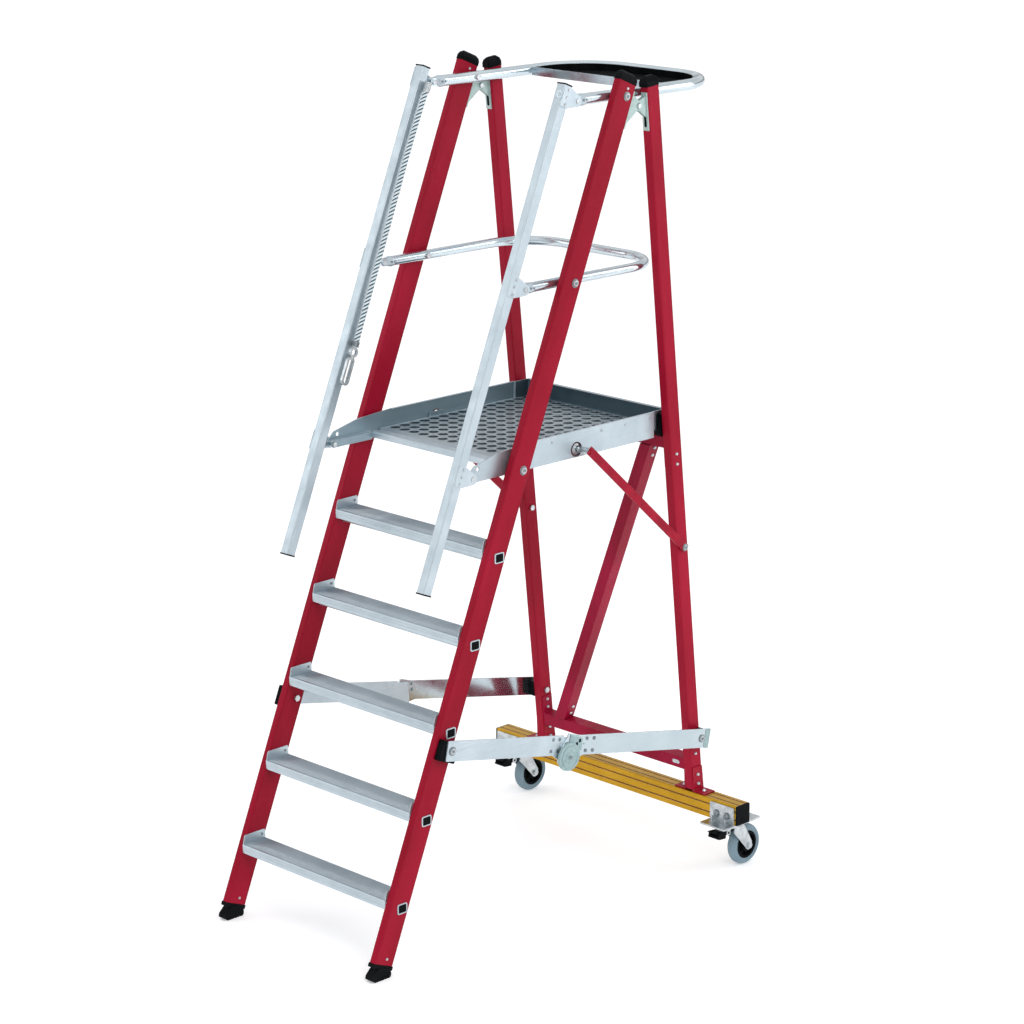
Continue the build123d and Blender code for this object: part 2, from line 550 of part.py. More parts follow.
KINGPIN_R, CROWN_Z = 8.0, 132.0
with BuildPart() as castor_clamps:
    clamp_width, clamp_depth = 98.0, 166.0
    for side in SIDES:
        with BuildSketch(Plane.XY.offset(PLATE_Z)):
            with Locations((side * (CASTOR_X - 1), CASTOR_Y - 15)):
                RectangleRounded(clamp_width, clamp_depth, 6.0)
        extrude(amount=PLATE_THICK - 0.2)
        for wall_y, outward in ((BEAM_FRONT - 0.2, -1), (BEAM_BACK + 0.2, 1)):
            with BuildSketch(Plane(origin=(side * CASTOR_X, wall_y, PLATE_Z), x_dir=(1, 0, 0), z_dir=(0, -1, 0))):
                with Locations((0, 31.0)):
                    RectangleRounded(clamp_width - 4, 60.0, 4.0)
            extrude(amount=-outward * 4.0)
            with BuildSketch(Plane.XY.offset(PLATE_Z + PLATE_THICK - 0.3)):
                for gusset_x in (-26.0, 26.0):
                    with Locations((side * CASTOR_X + gusset_x, wall_y + outward * 12)):
                        Rectangle(4.0, 16.0)
            extrude(amount=18.0)
            for bolt_x in (-20.0, 20.0):
                with BuildSketch(Plane(origin=(side * CASTOR_X + bolt_x, wall_y + outward * 4, PLATE_Z + 30),
                                       x_dir=(1, 0, 0), z_dir=(0, outward, 0))):
                    RegularPolygon(8.5, 6)
                extrude(amount=7.0)
        with BuildSketch(Plane.XY.offset(CROWN_Z - 6)):
            with Locations((side * CASTOR_X, CASTOR_Y)):
                Circle(KINGPIN_R)
        extrude(amount=PLATE_Z - CROWN_Z + 6.5)
        with BuildSketch(Plane.XY.offset(PLATE_Z - 6)):
            with Locations((side * CASTOR_X, CASTOR_Y)):
                Circle(30.0)
        extrude(amount=6.2, taper=-12)
save(castor_clamps, "castor_clamps")

# ---------------------------------------------------------------- castors
AXLE_R = 6.0
LEG_IN, LEG_THICK = WHEEL_W / 2 + 3.0, 3.5
PEDAL_BACK, PEDAL_Z = -37.0, 122.0


def castor_plane(side, across, back=0.0, z=0.0, turn=0.0):
    """Side plane of a castor: local x runs back from the swivel axis, across is the distance sideways."""
    return side_plane(side * CASTOR_X + across, CASTOR_Y + back, z, turn)


def castor_top(side, z):
    """Level plane over a castor's swivel axis."""
    return Plane(origin=(side * CASTOR_X, CASTOR_Y, z))


def castor_disc(side, half, back, z, radius, mode=Mode.ADD):
    """Round bar across a castor, in the open part."""
    with BuildSketch(castor_plane(side, -half, back, z)) as outline:
        Circle(radius)
    extrude(outline.sketch, amount=2 * half, mode=mode)


def castor_fork(side):
    """Pressed steel fork: a crown under the swivel race and two legs down to the axle."""
    with BuildPart() as fork:
        with BuildSketch(castor_top(side, CROWN_Z)):
            Circle(29.0)
            with Locations((0, -20)):
                Rectangle(30.0, 40.0)
        extrude(amount=4.0)
        with BuildSketch(castor_top(side, CROWN_Z + 4)):
            Circle(26.0)
        extrude(amount=8.0, taper=10)
        for leg in SIDES:
            with BuildSketch(castor_plane(side, leg * LEG_IN)):
                with BuildLine():
                    Polyline(
                        (-20, CROWN_Z + 2), (24, CROWN_Z + 2), (TRAIL + 14, WHEEL_R + 8),
                        (TRAIL + 4, WHEEL_R - 13), (TRAIL - 8, WHEEL_R - 11), (-20, CROWN_Z - 16), close=True)
                make_face()
                with Locations((TRAIL, WHEEL_R)):
                    Circle(14.0)
            extrude(amount=leg * LEG_THICK)
            with BuildSketch(castor_plane(side, leg * (LEG_IN - 6))):
                with Locations((0, CROWN_Z + 2)):
                    Rectangle(40.0, 4.0)
            extrude(amount=leg * (LEG_THICK + 6))
            with BuildSketch(castor_plane(side, leg * 11)):
                with Locations((PEDAL_BACK, PEDAL_Z)):
                    Circle(9.0)
                with Locations((PEDAL_BACK + 3, CROWN_Z - 1)):
                    Rectangle(16.0, 8.0)
            extrude(amount=leg * 3)
        castor_disc(side, 30, PEDAL_BACK, PEDAL_Z, PIN_HOLE_R, Mode.SUBTRACT)
        castor_disc(side, 30, TRAIL, WHEEL_R, AXLE_R - 0.5, Mode.SUBTRACT)
        with BuildSketch(castor_top(side, CROWN_Z - 5)):
            Circle(KINGPIN_R + 0.05)
        extrude(amount=30.0, mode=Mode.SUBTRACT)
    return fork


def castor_axle(side):
    """Axle sleeve with a bolt head and a nut outside the fork legs."""
    with BuildPart() as axle:
        castor_disc(side, LEG_IN - 0.1, TRAIL, WHEEL_R, AXLE_R)
        castor_disc(side, LEG_IN + LEG_THICK + 1, TRAIL, WHEEL_R, AXLE_R - 0.6)
        for end in SIDES:
            with BuildSketch(castor_plane(side, end * (LEG_IN + LEG_THICK + 0.1), TRAIL, WHEEL_R)):
                RegularPolygon(9.5, 6)
            extrude(amount=end * 6.0)
    return axle


def wheel_plane(side):
    """Level plane through a wheel's centre: local x along the axle, local y backwards."""
    return Plane(origin=(side * CASTOR_X, CASTOR_Y + TRAIL, WHEEL_R))


def tyre(side):
    """Grey rubber tyre with rounded shoulders."""
    half, inner, shoulder = WHEEL_W / 2, 43.0, WHEEL_R - 9
    plane = wheel_plane(side)
    with BuildPart() as ring:
        with BuildSketch(plane):
            with BuildLine():
                Polyline((-half, shoulder), (2 - half, inner), (half - 2, inner), (half, shoulder))
                ThreePointArc((half, shoulder), (0, WHEEL_R), (-half, shoulder))
            make_face()
        revolve(axis=Axis(plane.origin, plane.x_dir))
    return ring


def wheel_hub(side):
    """Black wheel centre: rim, dished web and a bored hub."""
    plane = wheel_plane(side)
    with BuildPart() as hub:
        with BuildSketch(plane):
            for half, low, high in ((13.5, 35.0, 42.9), (5.0, 20.0, 36.0), (15.5, AXLE_R + 0.05, 21.0)):
                with Locations((0, (low + high) / 2)):
                    Rectangle(2 * half, high - low)
        revolve(axis=Axis(plane.origin, plane.x_dir))
    return hub


def brake_pedal(side):
    """Brake lever under the crown with a square rubber-faced tread."""
    with BuildPart() as pedal:
        with BuildSketch(castor_plane(side, -10, PEDAL_BACK, PEDAL_Z)):
            Circle(8.0)
            with BuildLine():
                Polyline((0, 7), (-30, 6), (-66, 4), (-66, 0), (-32, -8), (0, -7), close=True)
            make_face()
        extrude(amount=20.0)
        with BuildSketch(castor_plane(side, -20, PEDAL_BACK - 36, PEDAL_Z, -6)):
            RectangleRounded(34.0, 20.0, 4.0)
        extrude(amount=40.0)
        castor_disc(side, 13.9, PEDAL_BACK, PEDAL_Z, PIN_R)
    return pedal


for side in SIDES:
    save(castor_fork(side), f"castor_fork_{SIDE_NAME[side]}")
    save(castor_axle(side), f"castor_axle_{SIDE_NAME[side]}")
    save(tyre(side), f"tyre_{SIDE_NAME[side]}")
    save(wheel_hub(side), f"wheel_hub_{SIDE_NAME[side]}")
    save(brake_pedal(side), f"brake_pedal_{SIDE_NAME[side]}")

# ---------------------------------------------------------------- platform
ARM_R = 13.0                    # rounded front end of each side panel
ARM_IN = 268.5                  # inner face of the arm tube
PANEL_IN = PANEL_OUT - PANEL_SHEET
POST_PIVOT_Y = PLATFORM_Y - LINK


def platform_side(side):
    """Side panel that runs forward past the stile, with the arm tube that carries the post."""
    foot = PLATFORM_Z - ARM_R
    with BuildPart() as panel:
        with BuildSketch(side_plane(side * PANEL_IN)):
            with BuildLine():
                Polyline(
                    (POST_PIVOT_Y, foot), (PANEL_BACK, foot), (PANEL_BACK, PANEL_TOP), (-83.0, PANEL_TOP),
                    (-214.0, 1399.5), (-306.0, 1378.0), (POST_PIVOT_Y - 11, PLATFORM_Z + 8), close=True)
            make_face()
            with Locations((POST_PIVOT_Y, PLATFORM_Z)):
                Circle(ARM_R)
            with Locations((STUB_Y - 12, STUB_Z + 2)):
                Circle(19.0, mode=Mode.SUBTRACT)
            with Locations((POST_PIVOT_Y + 28, PLATFORM_Z + 22)):
                Circle(6.0, mode=Mode.SUBTRACT)
        extrude(amount=side * PANEL_SHEET)
        with BuildSketch(side_plane(side * ARM_IN)):
            with Locations((POST_PIVOT_Y, PLATFORM_Z)):
                Circle(10.5)
            with Locations(((POST_PIVOT_Y + DECK_FRONT) / 2 - 0.3, PLATFORM_Z)):
                Rectangle(DECK_FRONT - POST_PIVOT_Y, 21.0)
        extrude(amount=side * (PANEL_IN - ARM_IN))
        with BuildSketch(side_plane(side * (PANEL_IN - 12), 0, 0)):
            with Locations(((DECK_FRONT + PANEL_BACK) / 2 + 30, foot + 1.25)):
                Rectangle(PANEL_BACK - DECK_FRONT - 70, 2.5)
        extrude(amount=side * 12.0)
        with BuildSketch(side_plane(side * (PANEL_IN - 5), 0, 0)):
            with Locations(((PANEL_BACK - 83.0) / 2, PANEL_TOP - 1.25)):
                Rectangle(PANEL_BACK + 83.0, 2.5)
        extrude(amount=side * 5.0)
        side_disc(side * 260, side * 290, POST_PIVOT_Y, PLATFORM_Z, PIN_HOLE_R, Mode.SUBTRACT)
        side_disc(side * 260, side * 290, PLATFORM_Y, PLATFORM_Z, HOLE_R, Mode.SUBTRACT)
    return panel


for side in SIDES:
    save(platform_side(side), f"platform_side_{SIDE_NAME[side]}")

DECK_HALF = PANEL_IN - 0.3
NOSING_DEPTH = 38.0
with BuildPart() as platform_nosing:
    nosing_foot = 1341.0
    with BuildSketch(side_plane(-ARM_IN + 0.3)):
        with BuildLine():
            Polyline(
                (DECK_FRONT + 0.2, nosing_foot), (DECK_FRONT + 0.2, DECK_TOP - 4), (DECK_FRONT + 4, DECK_TOP + 1),
                (DECK_FRONT + NOSING_DEPTH, DECK_TOP + 1), (DECK_FRONT + NOSING_DEPTH, DECK_TOP - 8),
                (DECK_FRONT + NOSING_DEPTH - 3, DECK_TOP - 8), (DECK_FRONT + NOSING_DEPTH - 3, DECK_TOP - 3),
                (DECK_FRONT + 5, DECK_TOP - 3), (DECK_FRONT + 3.5, DECK_TOP - 6),
                (DECK_FRONT + 3.5, nosing_foot), close=True)
        make_face()
        with GridLocations(5.0, 1, 5, 1):
            with Locations((DECK_FRONT + 20, DECK_TOP + 1)):
                Rectangle(2.0, 1.6, mode=Mode.SUBTRACT)
    extrude(amount=2 * (ARM_IN - 0.3))
save(platform_nosing, "platform_nosing")

with BuildPart() as platform_deck:
    deck_front = DECK_FRONT + NOSING_DEPTH + 0.2
    deck_back = DECK_BACK - 3.4
    with BuildSketch(Plane.XY.offset(DECK_TOP - 4)):
        with Locations((0, (deck_front + PANEL_BACK) / 2)):
            Rectangle(2 * DECK_HALF, PANEL_BACK - deck_front)
        with Locations((0, (PANEL_BACK + deck_back) / 2)):
            Rectangle(2 * (DECK_HALF - 4), deck_back - PANEL_BACK)
        with Locations((-DECK_HALF, STUB_Y - 12), (DECK_HALF, STUB_Y - 12)):
            Rectangle(7.0, 62.0, mode=Mode.SUBTRACT)
    extrude(amount=4.0)
save(platform_deck, "platform_deck")

with BuildPart() as platform_toe_board:
    toe_half = 281.0
    with BuildSketch(Plane.XY.offset(DECK_TOP + 0.2)):
        with BuildLine():
            toe_front = PANEL_BACK + 1
            FilletPolyline(
                (-toe_half, toe_front), (-toe_half, DECK_BACK), (toe_half, DECK_BACK), (toe_half, toe_front),
                radius=10.0)
            offset(amount=-3.0, side=Side.RIGHT)
        make_face()
    extrude(amount=PANEL_TOP - DECK_TOP - 0.2)
    with BuildSketch(side_plane(-toe_half + 12, 0, 0)):
        with Locations((DECK_BACK - 7, PANEL_TOP - 1.25)):
            Rectangle(12.0, 2.5)
    extrude(amount=2 * (toe_half - 12))
    with BuildSketch(side_plane(-toe_half + 12, 0, 0)):
        with Locations((DECK_BACK - 1.5, (PANEL_FOOT + DECK_TOP) / 2 + 1)):
            Rectangle(3.0, DECK_TOP - PANEL_FOOT)
    extrude(amount=2 * (toe_half - 12))
save(platform_toe_board, "platform_toe_board")

with BuildPart() as platform_buffers:
    for side in SIDES:
        with BuildSketch(side_plane(side * (toe_half + 0.2), 458.0, 1370.0)):
            RectangleRounded(44.0, 66.0, 5.0)
        extrude(amount=side * (REAR_IN - 0.6 - toe_half - 0.2))
save(platform_buffers, "platform_buffers")

with BuildPart() as strut_stubs:
    for side in SIDES:
        with BuildSketch(side_plane(side * (PANEL_IN - 3), STUB_Y - 12, STUB_Z + 1)):
            RectangleRounded(60.0, 34.0, 6.0)
        extrude(amount=side * 2.8)
        side_disc(side * (PANEL_IN - 0.3), side * (PANEL_OUT + 0.5), STUB_Y, STUB_Z, STUB_NECK_R)
        side_disc(side * (PANEL_OUT + 0.4), side * 330.4, STUB_Y, STUB_Z, STUB_R)
save(strut_stubs, "strut_stubs")

# ---------------------------------------------------------------- struts under the platform
STRUT_IN, STRUT_THICK, STRUT_HALF = 331.0, 5.0, 12.5
strut_turn = degrees(atan2(STUB_Z - STRUT_Z, STUB_Y - STRUT_Y))
strut_length = hypot(STUB_Z - STRUT_Z, STUB_Y - STRUT_Y)
with BuildPart() as platform_struts:
    for side in SIDES:
        with BuildSketch(side_plane(side * STRUT_IN, STRUT_Y, STRUT_Z, strut_turn)):
            with Locations((strut_length / 2, 0)):
                Rectangle(strut_length + 2 * STRUT_HALF - 6, 2 * STRUT_HALF)
            with Locations((0, 0)):
                Circle(HOLE_R, mode=Mode.SUBTRACT)
        extrude(amount=side * STRUT_THICK)
        side_bolt(side, STRUT_IN + STRUT_THICK, STRUT_IN + 1, STUB_Y, STUB_Z, 5.0, 9.0, 4.0)
save(platform_struts, "platform_struts")


# ---------------------------------------------------------------- guard rails
def guard_rail(y, z, tube, rear, bend):
    """U-shaped tube around the platform with a flat tongue at each front end."""
    tip_y = y - LINK
    tube_start = tip_y + 24
    with BuildPart() as rail:
        with BuildLine():
            FilletPolyline(
                (-RAIL_X, tube_start, z), (-RAIL_X, rear, z), (RAIL_X, rear, z), (RAIL_X, tube_start, z),
                radius=bend)
        with BuildSketch(Plane(origin=(-RAIL_X, tube_start, z), z_dir=(0, 1, 0))):
            Circle(tube / 2)
            Circle(tube / 2 - 2.5, mode=Mode.SUBTRACT)
        sweep()
        for side in SIDES:
            with BuildSketch(side_plane(side * (RAIL_X - 9))):
                with Locations((tip_y, z)):
                    Circle(tube / 2 - 4)
                with Locations((tip_y + 17, z)):
                    Rectangle(34.0, tube - 8)
            extrude(amount=side * 18.0)
            side_disc(side * 250, side * 305, tip_y, z, PIN_HOLE_R, Mode.SUBTRACT)
            side_disc(side * 250, side * 305, y, z, HOLE_R, Mode.SUBTRACT)
    return rail


save(guard_rail(MID_Y, MID_Z, MID_TUBE, MID_REAR, MID_BEND), "mid_rail")
save(guard_rail(TOP_Y, TOP_Z, TOP_TUBE, TOP_REAR, TOP_BEND), "top_rail")

TRAY_FRONT, TRAY_WALL, TRAY_FOOT, TRAY_TOP = 475.0, 2.0, 2324.0, 2349.0
with BuildPart() as tool_tray:
    tray_half = RAIL_X - TOP_TUBE / 2 - 0.3
    tray_back = TOP_REAR - TOP_TUBE / 2 - 0.3
    corner = TOP_BEND - TOP_TUBE / 2
    for inset, base, mode in ((0.0, TRAY_FOOT, Mode.ADD), (TRAY_WALL, TRAY_FOOT + TRAY_WALL, Mode.SUBTRACT)):
        with BuildSketch(Plane.XY.offset(base)):
            with BuildLine():
                half, front, back = tray_half - inset, TRAY_FRONT + inset, tray_back - inset
                FilletPolyline(
                    (half, front), (half, back), (-half, back), (-half, front), radius=corner - inset)
                Line((-half, front), (half, front))
            make_face()
        extrude(amount=TRAY_TOP - TRAY_FOOT, mode=mode)
save(tool_tray, "tool_tray")


# ---------------------------------------------------------------- guard posts
def post_plane(x):
    """Side plane of the posts: local x to the rear, local y up along the post."""
    return side_plane(x, POST_PIVOT_Y, PLATFORM_Z, -FRONT_LEAN)


def guard_post(side):
    """Square aluminium post parallel to the stiles."""
    lean = radians(FRONT_LEAN)
    foot_y = POST_PIVOT_Y + POST_FOOT * sin(lean)
    foot_z = PLATFORM_Z + POST_FOOT * cos(lean)
    section = Plane(origin=(0, foot_y, foot_z), x_dir=(1, 0, 0), z_dir=(0, sin(lean), cos(lean)))
    with BuildPart() as post:
        with BuildSketch(section):
            with Locations((side * POST_X, -POST_BACKSET)):
                RectangleRounded(POST_SIZE, POST_SIZE, 3.0)
                RectangleRounded(POST_SIZE - 2 * POST_WALL, POST_SIZE - 2 * POST_WALL, 1.0, mode=Mode.SUBTRACT)
        extrude(amount=POST_TOP - POST_FOOT)
    return post


for side in SIDES:
    save(guard_post(side), f"guard_post_{SIDE_NAME[side]}")

with BuildPart() as post_caps:
    for side in SIDES:
        for end, way in ((POST_FOOT - 0.1, -1), (POST_TOP + 0.1, 1)):
            with BuildSketch(post_plane(side * (POST_X - POST_SIZE / 2 - 0.5))):
                with Locations((-POST_BACKSET, end + way * 2.0)):
                    RectangleRounded(POST_SIZE + 1, 4.0, 1.5)
            extrude(amount=side * (POST_SIZE + 1))
save(post_caps, "post_caps")

BRACKET_IN = POST_X + POST_SIZE / 2 + 0.2
BRACKET_THICK = 3.0
PIVOT_RISES = (0.0, MID_PIVOT - PLATFORM_PIVOT, TOP_PIVOT - PLATFORM_PIVOT)
with BuildPart() as post_brackets:
    for side in SIDES:
        for rise in PIVOT_RISES:
            with BuildSketch(post_plane(side * BRACKET_IN)):
                with Locations((0, rise)):
                    Circle(15.0)
                with Locations((-POST_BACKSET, rise - 26), (-POST_BACKSET, rise + 20)):
                    Rectangle(POST_SIZE - 2, 10.0)
                make_hull()
            extrude(amount=side * BRACKET_THICK)
            pivot_y = POST_PIVOT_Y + rise * sin(radians(FRONT_LEAN))
            pivot_z = PLATFORM_Z + rise * cos(radians(FRONT_LEAN))
            side_disc(side * (BRACKET_IN - 5), side * (BRACKET_IN + 8), pivot_y, pivot_z, PIN_HOLE_R, Mode.SUBTRACT)
    ring_turn = post_plane(POST_X + POST_SIZE / 2 - 4)
    with BuildSketch(ring_turn):
        with Locations((-POST_BACKSET - POST_SIZE / 2 - 11.0, PIVOT_RISES[2] - 2)):
            Circle(11.0)
            Circle(6.5, mode=Mode.SUBTRACT)
    extrude(amount=4.0)
save(post_brackets, "post_brackets")

with BuildPart() as post_bolts:
    for side in SIDES:
        for rise in PIVOT_RISES:
            pivot_y = POST_PIVOT_Y + rise * sin(radians(FRONT_LEAN))
            pivot_z = PLATFORM_Z + rise * cos(radians(FRONT_LEAN))
            tongue_in = ARM_IN if rise == 0 else RAIL_X - 9
            tongue_out = PANEL_OUT if rise == 0 else RAIL_X + 9
            side_bolt(side, BRACKET_IN + BRACKET_THICK + 0.1, tongue_in - 3, pivot_y, pivot_z, PIN_R, 7.5, 2.0)
            side_disc(side * (tongue_out + 0.3), side * (BRACKET_IN - 0.1), pivot_y, pivot_z, 8.0)
            side_nut(side, tongue_in - 6, tongue_in - 0.3, pivot_y, pivot_z, 13)
            for along in (rise - 24, rise - 3, rise + 18):
                with BuildSketch(post_plane(side * (BRACKET_IN + BRACKET_THICK + 0.1))):
                    with Locations((-POST_BACKSET + 4, along)):
                        Circle(4.5)
                extrude(amount=side * 2.0, taper=25)
save(post_bolts, "post_bolts")

# ---------------------------------------------------------------- safety rope on the left post
ROPE_R = 9.0
ROPE_X = -252.0
rope_lean = (sin(radians(FRONT_LEAN)), cos(radians(FRONT_LEAN)))


def rope_point(back, along, x=ROPE_X):
    """Point given square to the post's pivot line and along it."""
    c, s = rope_lean[1], rope_lean[0]
    return (x, POST_PIVOT_Y + along * s + back * c, PLATFORM_Z + along * c - back * s)


rope_route = [rope_point(-37.5, 1062.0), rope_point(-45.0, 905.0), rope_point(-42.5, 640.0, ROPE_X + 2),
              rope_point(-40.5, 400.0, ROPE_X + 1), rope_point(-38.5, 281.0)]


def bend_radii(route):
    """Arc radius at each inner corner of a route: 0.45 of the shorter run over tan(half turn)."""
    radii = []
    for a, b, c in zip(route[:-2], route[1:-1], route[2:]):
        first, second = Vector(*b) - Vector(*a), Vector(*c) - Vector(*b)
        half_turn = radians(first.get_angle(second)) / 2
        radii.append(0.45 * min(first.length, second.length) / max(half_turn, 1e-6))
    return radii


with BuildPart() as safety_rope:
    rope_radii = bend_radii(rope_route)
    with BuildLine() as rope_line:
        FilletPolyline(*rope_route, radius=rope_radii)
    rope_path = rope_line.wire()
    with BuildSketch(Plane(origin=rope_path @ 0, z_dir=rope_path % 0)):
        Circle(ROPE_R)
    sweep()
save(safety_rope, "safety_rope")

HOOK_RING, HOOK_LINK = (-39.0, 265.0), (-42.0, 209.0)     # centres, back and along as on the rope's route
with BuildPart() as rope_hook:
    hook_turn = side_plane(ROPE_X - 4, POST_PIVOT_Y, PLATFORM_Z, -FRONT_LEAN)
    with BuildSketch(hook_turn):
        with Locations(HOOK_RING):
            Circle(15.0)
            Circle(9.0, mode=Mode.SUBTRACT)
    extrude(amount=8.0)
    with BuildSketch(hook_turn):
        with Locations(HOOK_LINK):
            RectangleRounded(28.0, 84.0, 13.9)
            RectangleRounded(15.0, 71.0, 7.4, mode=Mode.SUBTRACT)
    extrude(amount=8.0)
save(rope_hook, "rope_hook")

# ---------------------------------------------------------------- spreaders
spread_turn = degrees(atan2(SPREAD_REAR_Z - SPREAD_Z, SPREAD_REAR_Y - SPREAD_Y))
spread_length = hypot(SPREAD_REAR_Z - SPREAD_Z, SPREAD_REAR_Y - SPREAD_Y)
turn_c, turn_s = cos(radians(spread_turn)), sin(radians(spread_turn))
joint_u = (JOINT_Y - SPREAD_Y) * turn_c + (JOINT_Z - SPREAD_Z) * turn_s
joint_v = -(JOINT_Y - SPREAD_Y) * turn_s + (JOINT_Z - SPREAD_Z) * turn_c
FRONT_REACH, REAR_REACH = 20.0, 34.0     # bar ends past their pivots


def spreader_plane(x):
    """Side plane whose local x runs from the front spreader pivot to the rear one."""
    return side_plane(x, SPREAD_Y, SPREAD_Z, spread_turn)


with BuildPart() as spreader_front_links:
    for side in SIDES:
        with BuildSketch(spreader_plane(side * INNER_BAR)):
            with Locations(((joint_u - 22 - FRONT_REACH) / 2, 0)):
                RectangleRounded(joint_u - 22 + FRONT_REACH, BAR_HEIGHT, 4.0)
            with BuildLine():
                Polyline(
                    (joint_u - 70, BAR_HEIGHT / 2 - 6), (joint_u + 18, BAR_HEIGHT / 2 - 6),
                    (joint_u + 34, joint_v + 12), (joint_u, joint_v - 36), (joint_u - 36, joint_v - 8),
                    (joint_u - 70, -BAR_HEIGHT / 2 + 4), close=True)
            make_face()
            with Locations((joint_u, joint_v)):
                Circle(36.0)
            Circle(HOLE_R, mode=Mode.SUBTRACT)
        extrude(amount=side * BAR_THICK)
        for rivet_u, rivet_v in ((-66, 18), (-40, 18), (-70, -16), (-44, -16)):
            with BuildSketch(spreader_plane(side * (INNER_BAR + BAR_THICK - 0.1))):
                with Locations((joint_u + rivet_u, rivet_v)):
                    Circle(3.8)
            extrude(amount=side * 0.5)
            with BuildSketch(spreader_plane(side * (INNER_BAR + 0.1))):
                with Locations((joint_u + rivet_u, rivet_v)):
                    Circle(4.2)
            extrude(amount=-side * 2.0, taper=25)
save(spreader_front_links, "spreader_front_links")

with BuildPart() as spreader_rear_links:
    for side in SIDES:
        bar_start = joint_u + 26
        bar_end = spread_length + REAR_REACH
        with BuildSketch(spreader_plane(side * OUTER_BAR)):
            with Locations(((bar_start + bar_end) / 2, 0)):
                RectangleRounded(bar_end - bar_start, BAR_HEIGHT, 4.0)
            with BuildLine():
                Polyline(
                    (joint_u + 78, BAR_HEIGHT / 2 - 4), (joint_u - 8, BAR_HEIGHT / 2 + 6),
                    (joint_u - 30, joint_v + 26), (joint_u, joint_v - 30), (joint_u + 34, joint_v - 6),
                    (joint_u + 78, -BAR_HEIGHT / 2 + 4), close=True)
            make_face()
            with Locations((joint_u, joint_v)):
                Circle(30.0)
            with Locations((joint_u + 38, 20), (joint_u + 44, 2)):
                Rectangle(9.0, 11.0, mode=Mode.SUBTRACT)
            with Locations((spread_length, 0)):
                Circle(HOLE_R, mode=Mode.SUBTRACT)
        extrude(amount=side * BAR_THICK)
        for rivet_u, rivet_v in ((70, 19), (100, 19), (70, -17), (100, -17), (62, 2), (28, 26)):
            with BuildSketch(spreader_plane(side * (OUTER_BAR + BAR_THICK - 0.1))):
                with Locations((joint_u + rivet_u, rivet_v)):
                    Circle(4.2)
            extrude(amount=side * 2.2, taper=25)
save(spreader_rear_links, "spreader_rear_links")

DISC_R = 42.0
with BuildPart() as spreader_discs:
    for side in SIDES:
        disc_x = OUTER_BAR + BAR_THICK + 0.1
        for radius, start, height in ((DISC_R, 0.0, 8.0), (DISC_R - 9, 8.0, 2.0), (7.0, 10.0, 2.5)):
            with BuildSketch(spreader_plane(side * (disc_x + start))):
                with Locations((joint_u, joint_v)):
                    Circle(radius)
            extrude(amount=side * height, taper=8)
save(spreader_discs, "spreader_discs")
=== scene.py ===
"""Looks of the folding platform step ladder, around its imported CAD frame. Metres, +Z up."""
from math import cos, pi, radians, sin

import bmesh
import bpy
from mathutils import Matrix, Vector


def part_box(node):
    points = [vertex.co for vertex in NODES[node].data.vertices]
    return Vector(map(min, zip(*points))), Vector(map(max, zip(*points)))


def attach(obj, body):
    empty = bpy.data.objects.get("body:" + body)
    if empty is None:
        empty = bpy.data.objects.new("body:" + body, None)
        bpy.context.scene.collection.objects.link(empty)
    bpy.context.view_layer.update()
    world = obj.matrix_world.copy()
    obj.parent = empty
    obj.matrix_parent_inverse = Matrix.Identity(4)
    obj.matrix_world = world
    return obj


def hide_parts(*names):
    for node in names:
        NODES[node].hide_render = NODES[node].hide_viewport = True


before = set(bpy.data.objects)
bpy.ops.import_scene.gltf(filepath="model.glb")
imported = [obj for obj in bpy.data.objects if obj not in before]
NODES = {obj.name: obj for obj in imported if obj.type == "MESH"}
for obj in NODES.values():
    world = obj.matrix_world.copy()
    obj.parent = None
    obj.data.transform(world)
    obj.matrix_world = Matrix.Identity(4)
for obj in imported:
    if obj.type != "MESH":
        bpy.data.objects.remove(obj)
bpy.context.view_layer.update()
SIDES = (("left", -1), ("right", 1))
X_AXIS, Y_AXIS, Z_AXIS = Vector((1, 0, 0)), Vector((0, 1, 0)), Vector((0, 0, 1))

# Driving dimensions that the details follow, as in the CAD. Front means the frame with the treads.
FRONT_LEAN, REAR_LEAN = radians(22.15), radians(6.275)
FRONT_UP = Vector((0, sin(FRONT_LEAN), cos(FRONT_LEAN)))
FRONT_BACK = Vector((0, cos(FRONT_LEAN), -sin(FRONT_LEAN)))
REAR_UP = Vector((0, -sin(REAR_LEAN), cos(REAR_LEAN)))
REAR_BACK = Vector((0, cos(REAR_LEAN), sin(REAR_LEAN)))
STEP, STEP_PITCH, STEP_COUNT = Vector((0, -0.62275, 0.1882)), 0.25, 5
REAR_BASE = Vector((0, 0.59635, 0.2))
STILE_IN, STILE_OUT, STILE_FRONT, STILE_REAR = 0.3015, 0.324, -0.0452, 0.0253
FRONT_CAP_AT, REAR_CAP_AT, REAR_STILE_X = 2.359, 2.171, 0.311
PIVOTS = {"platform": 1.25, "mid": 1.786, "top": 2.322, "spreader": 0.454}     # along the tread line
LINK, POST_X = 0.168, 0.2795
HINGE = Vector((0, 0.30425, 2.307))
STUB, STRUT = Vector((0, 0.10925, 1.354)), Vector((0, 0.50883, 0.996))
SPREAD_REAR, SPREAD_JOINT = Vector((0, 0.57513, 0.393)), Vector((0, 0.00025, 0.481))
SPREAD_INNER, SPREAD_OUTER, BAR_HEIGHT = 0.3493, 0.3545, 0.058                 # outer faces of the links
CASTOR_X, CASTOR_Y, TRAIL, WHEEL_R, CROWN_Z = 0.4516, 0.6156, 0.0465, 0.0625, 0.132


def on_front(along, back=0.0, x=0.0):
    """Point along the front frame's tread line, back square to it, and to the side."""
    return STEP + along * FRONT_UP + back * FRONT_BACK + x * X_AXIS


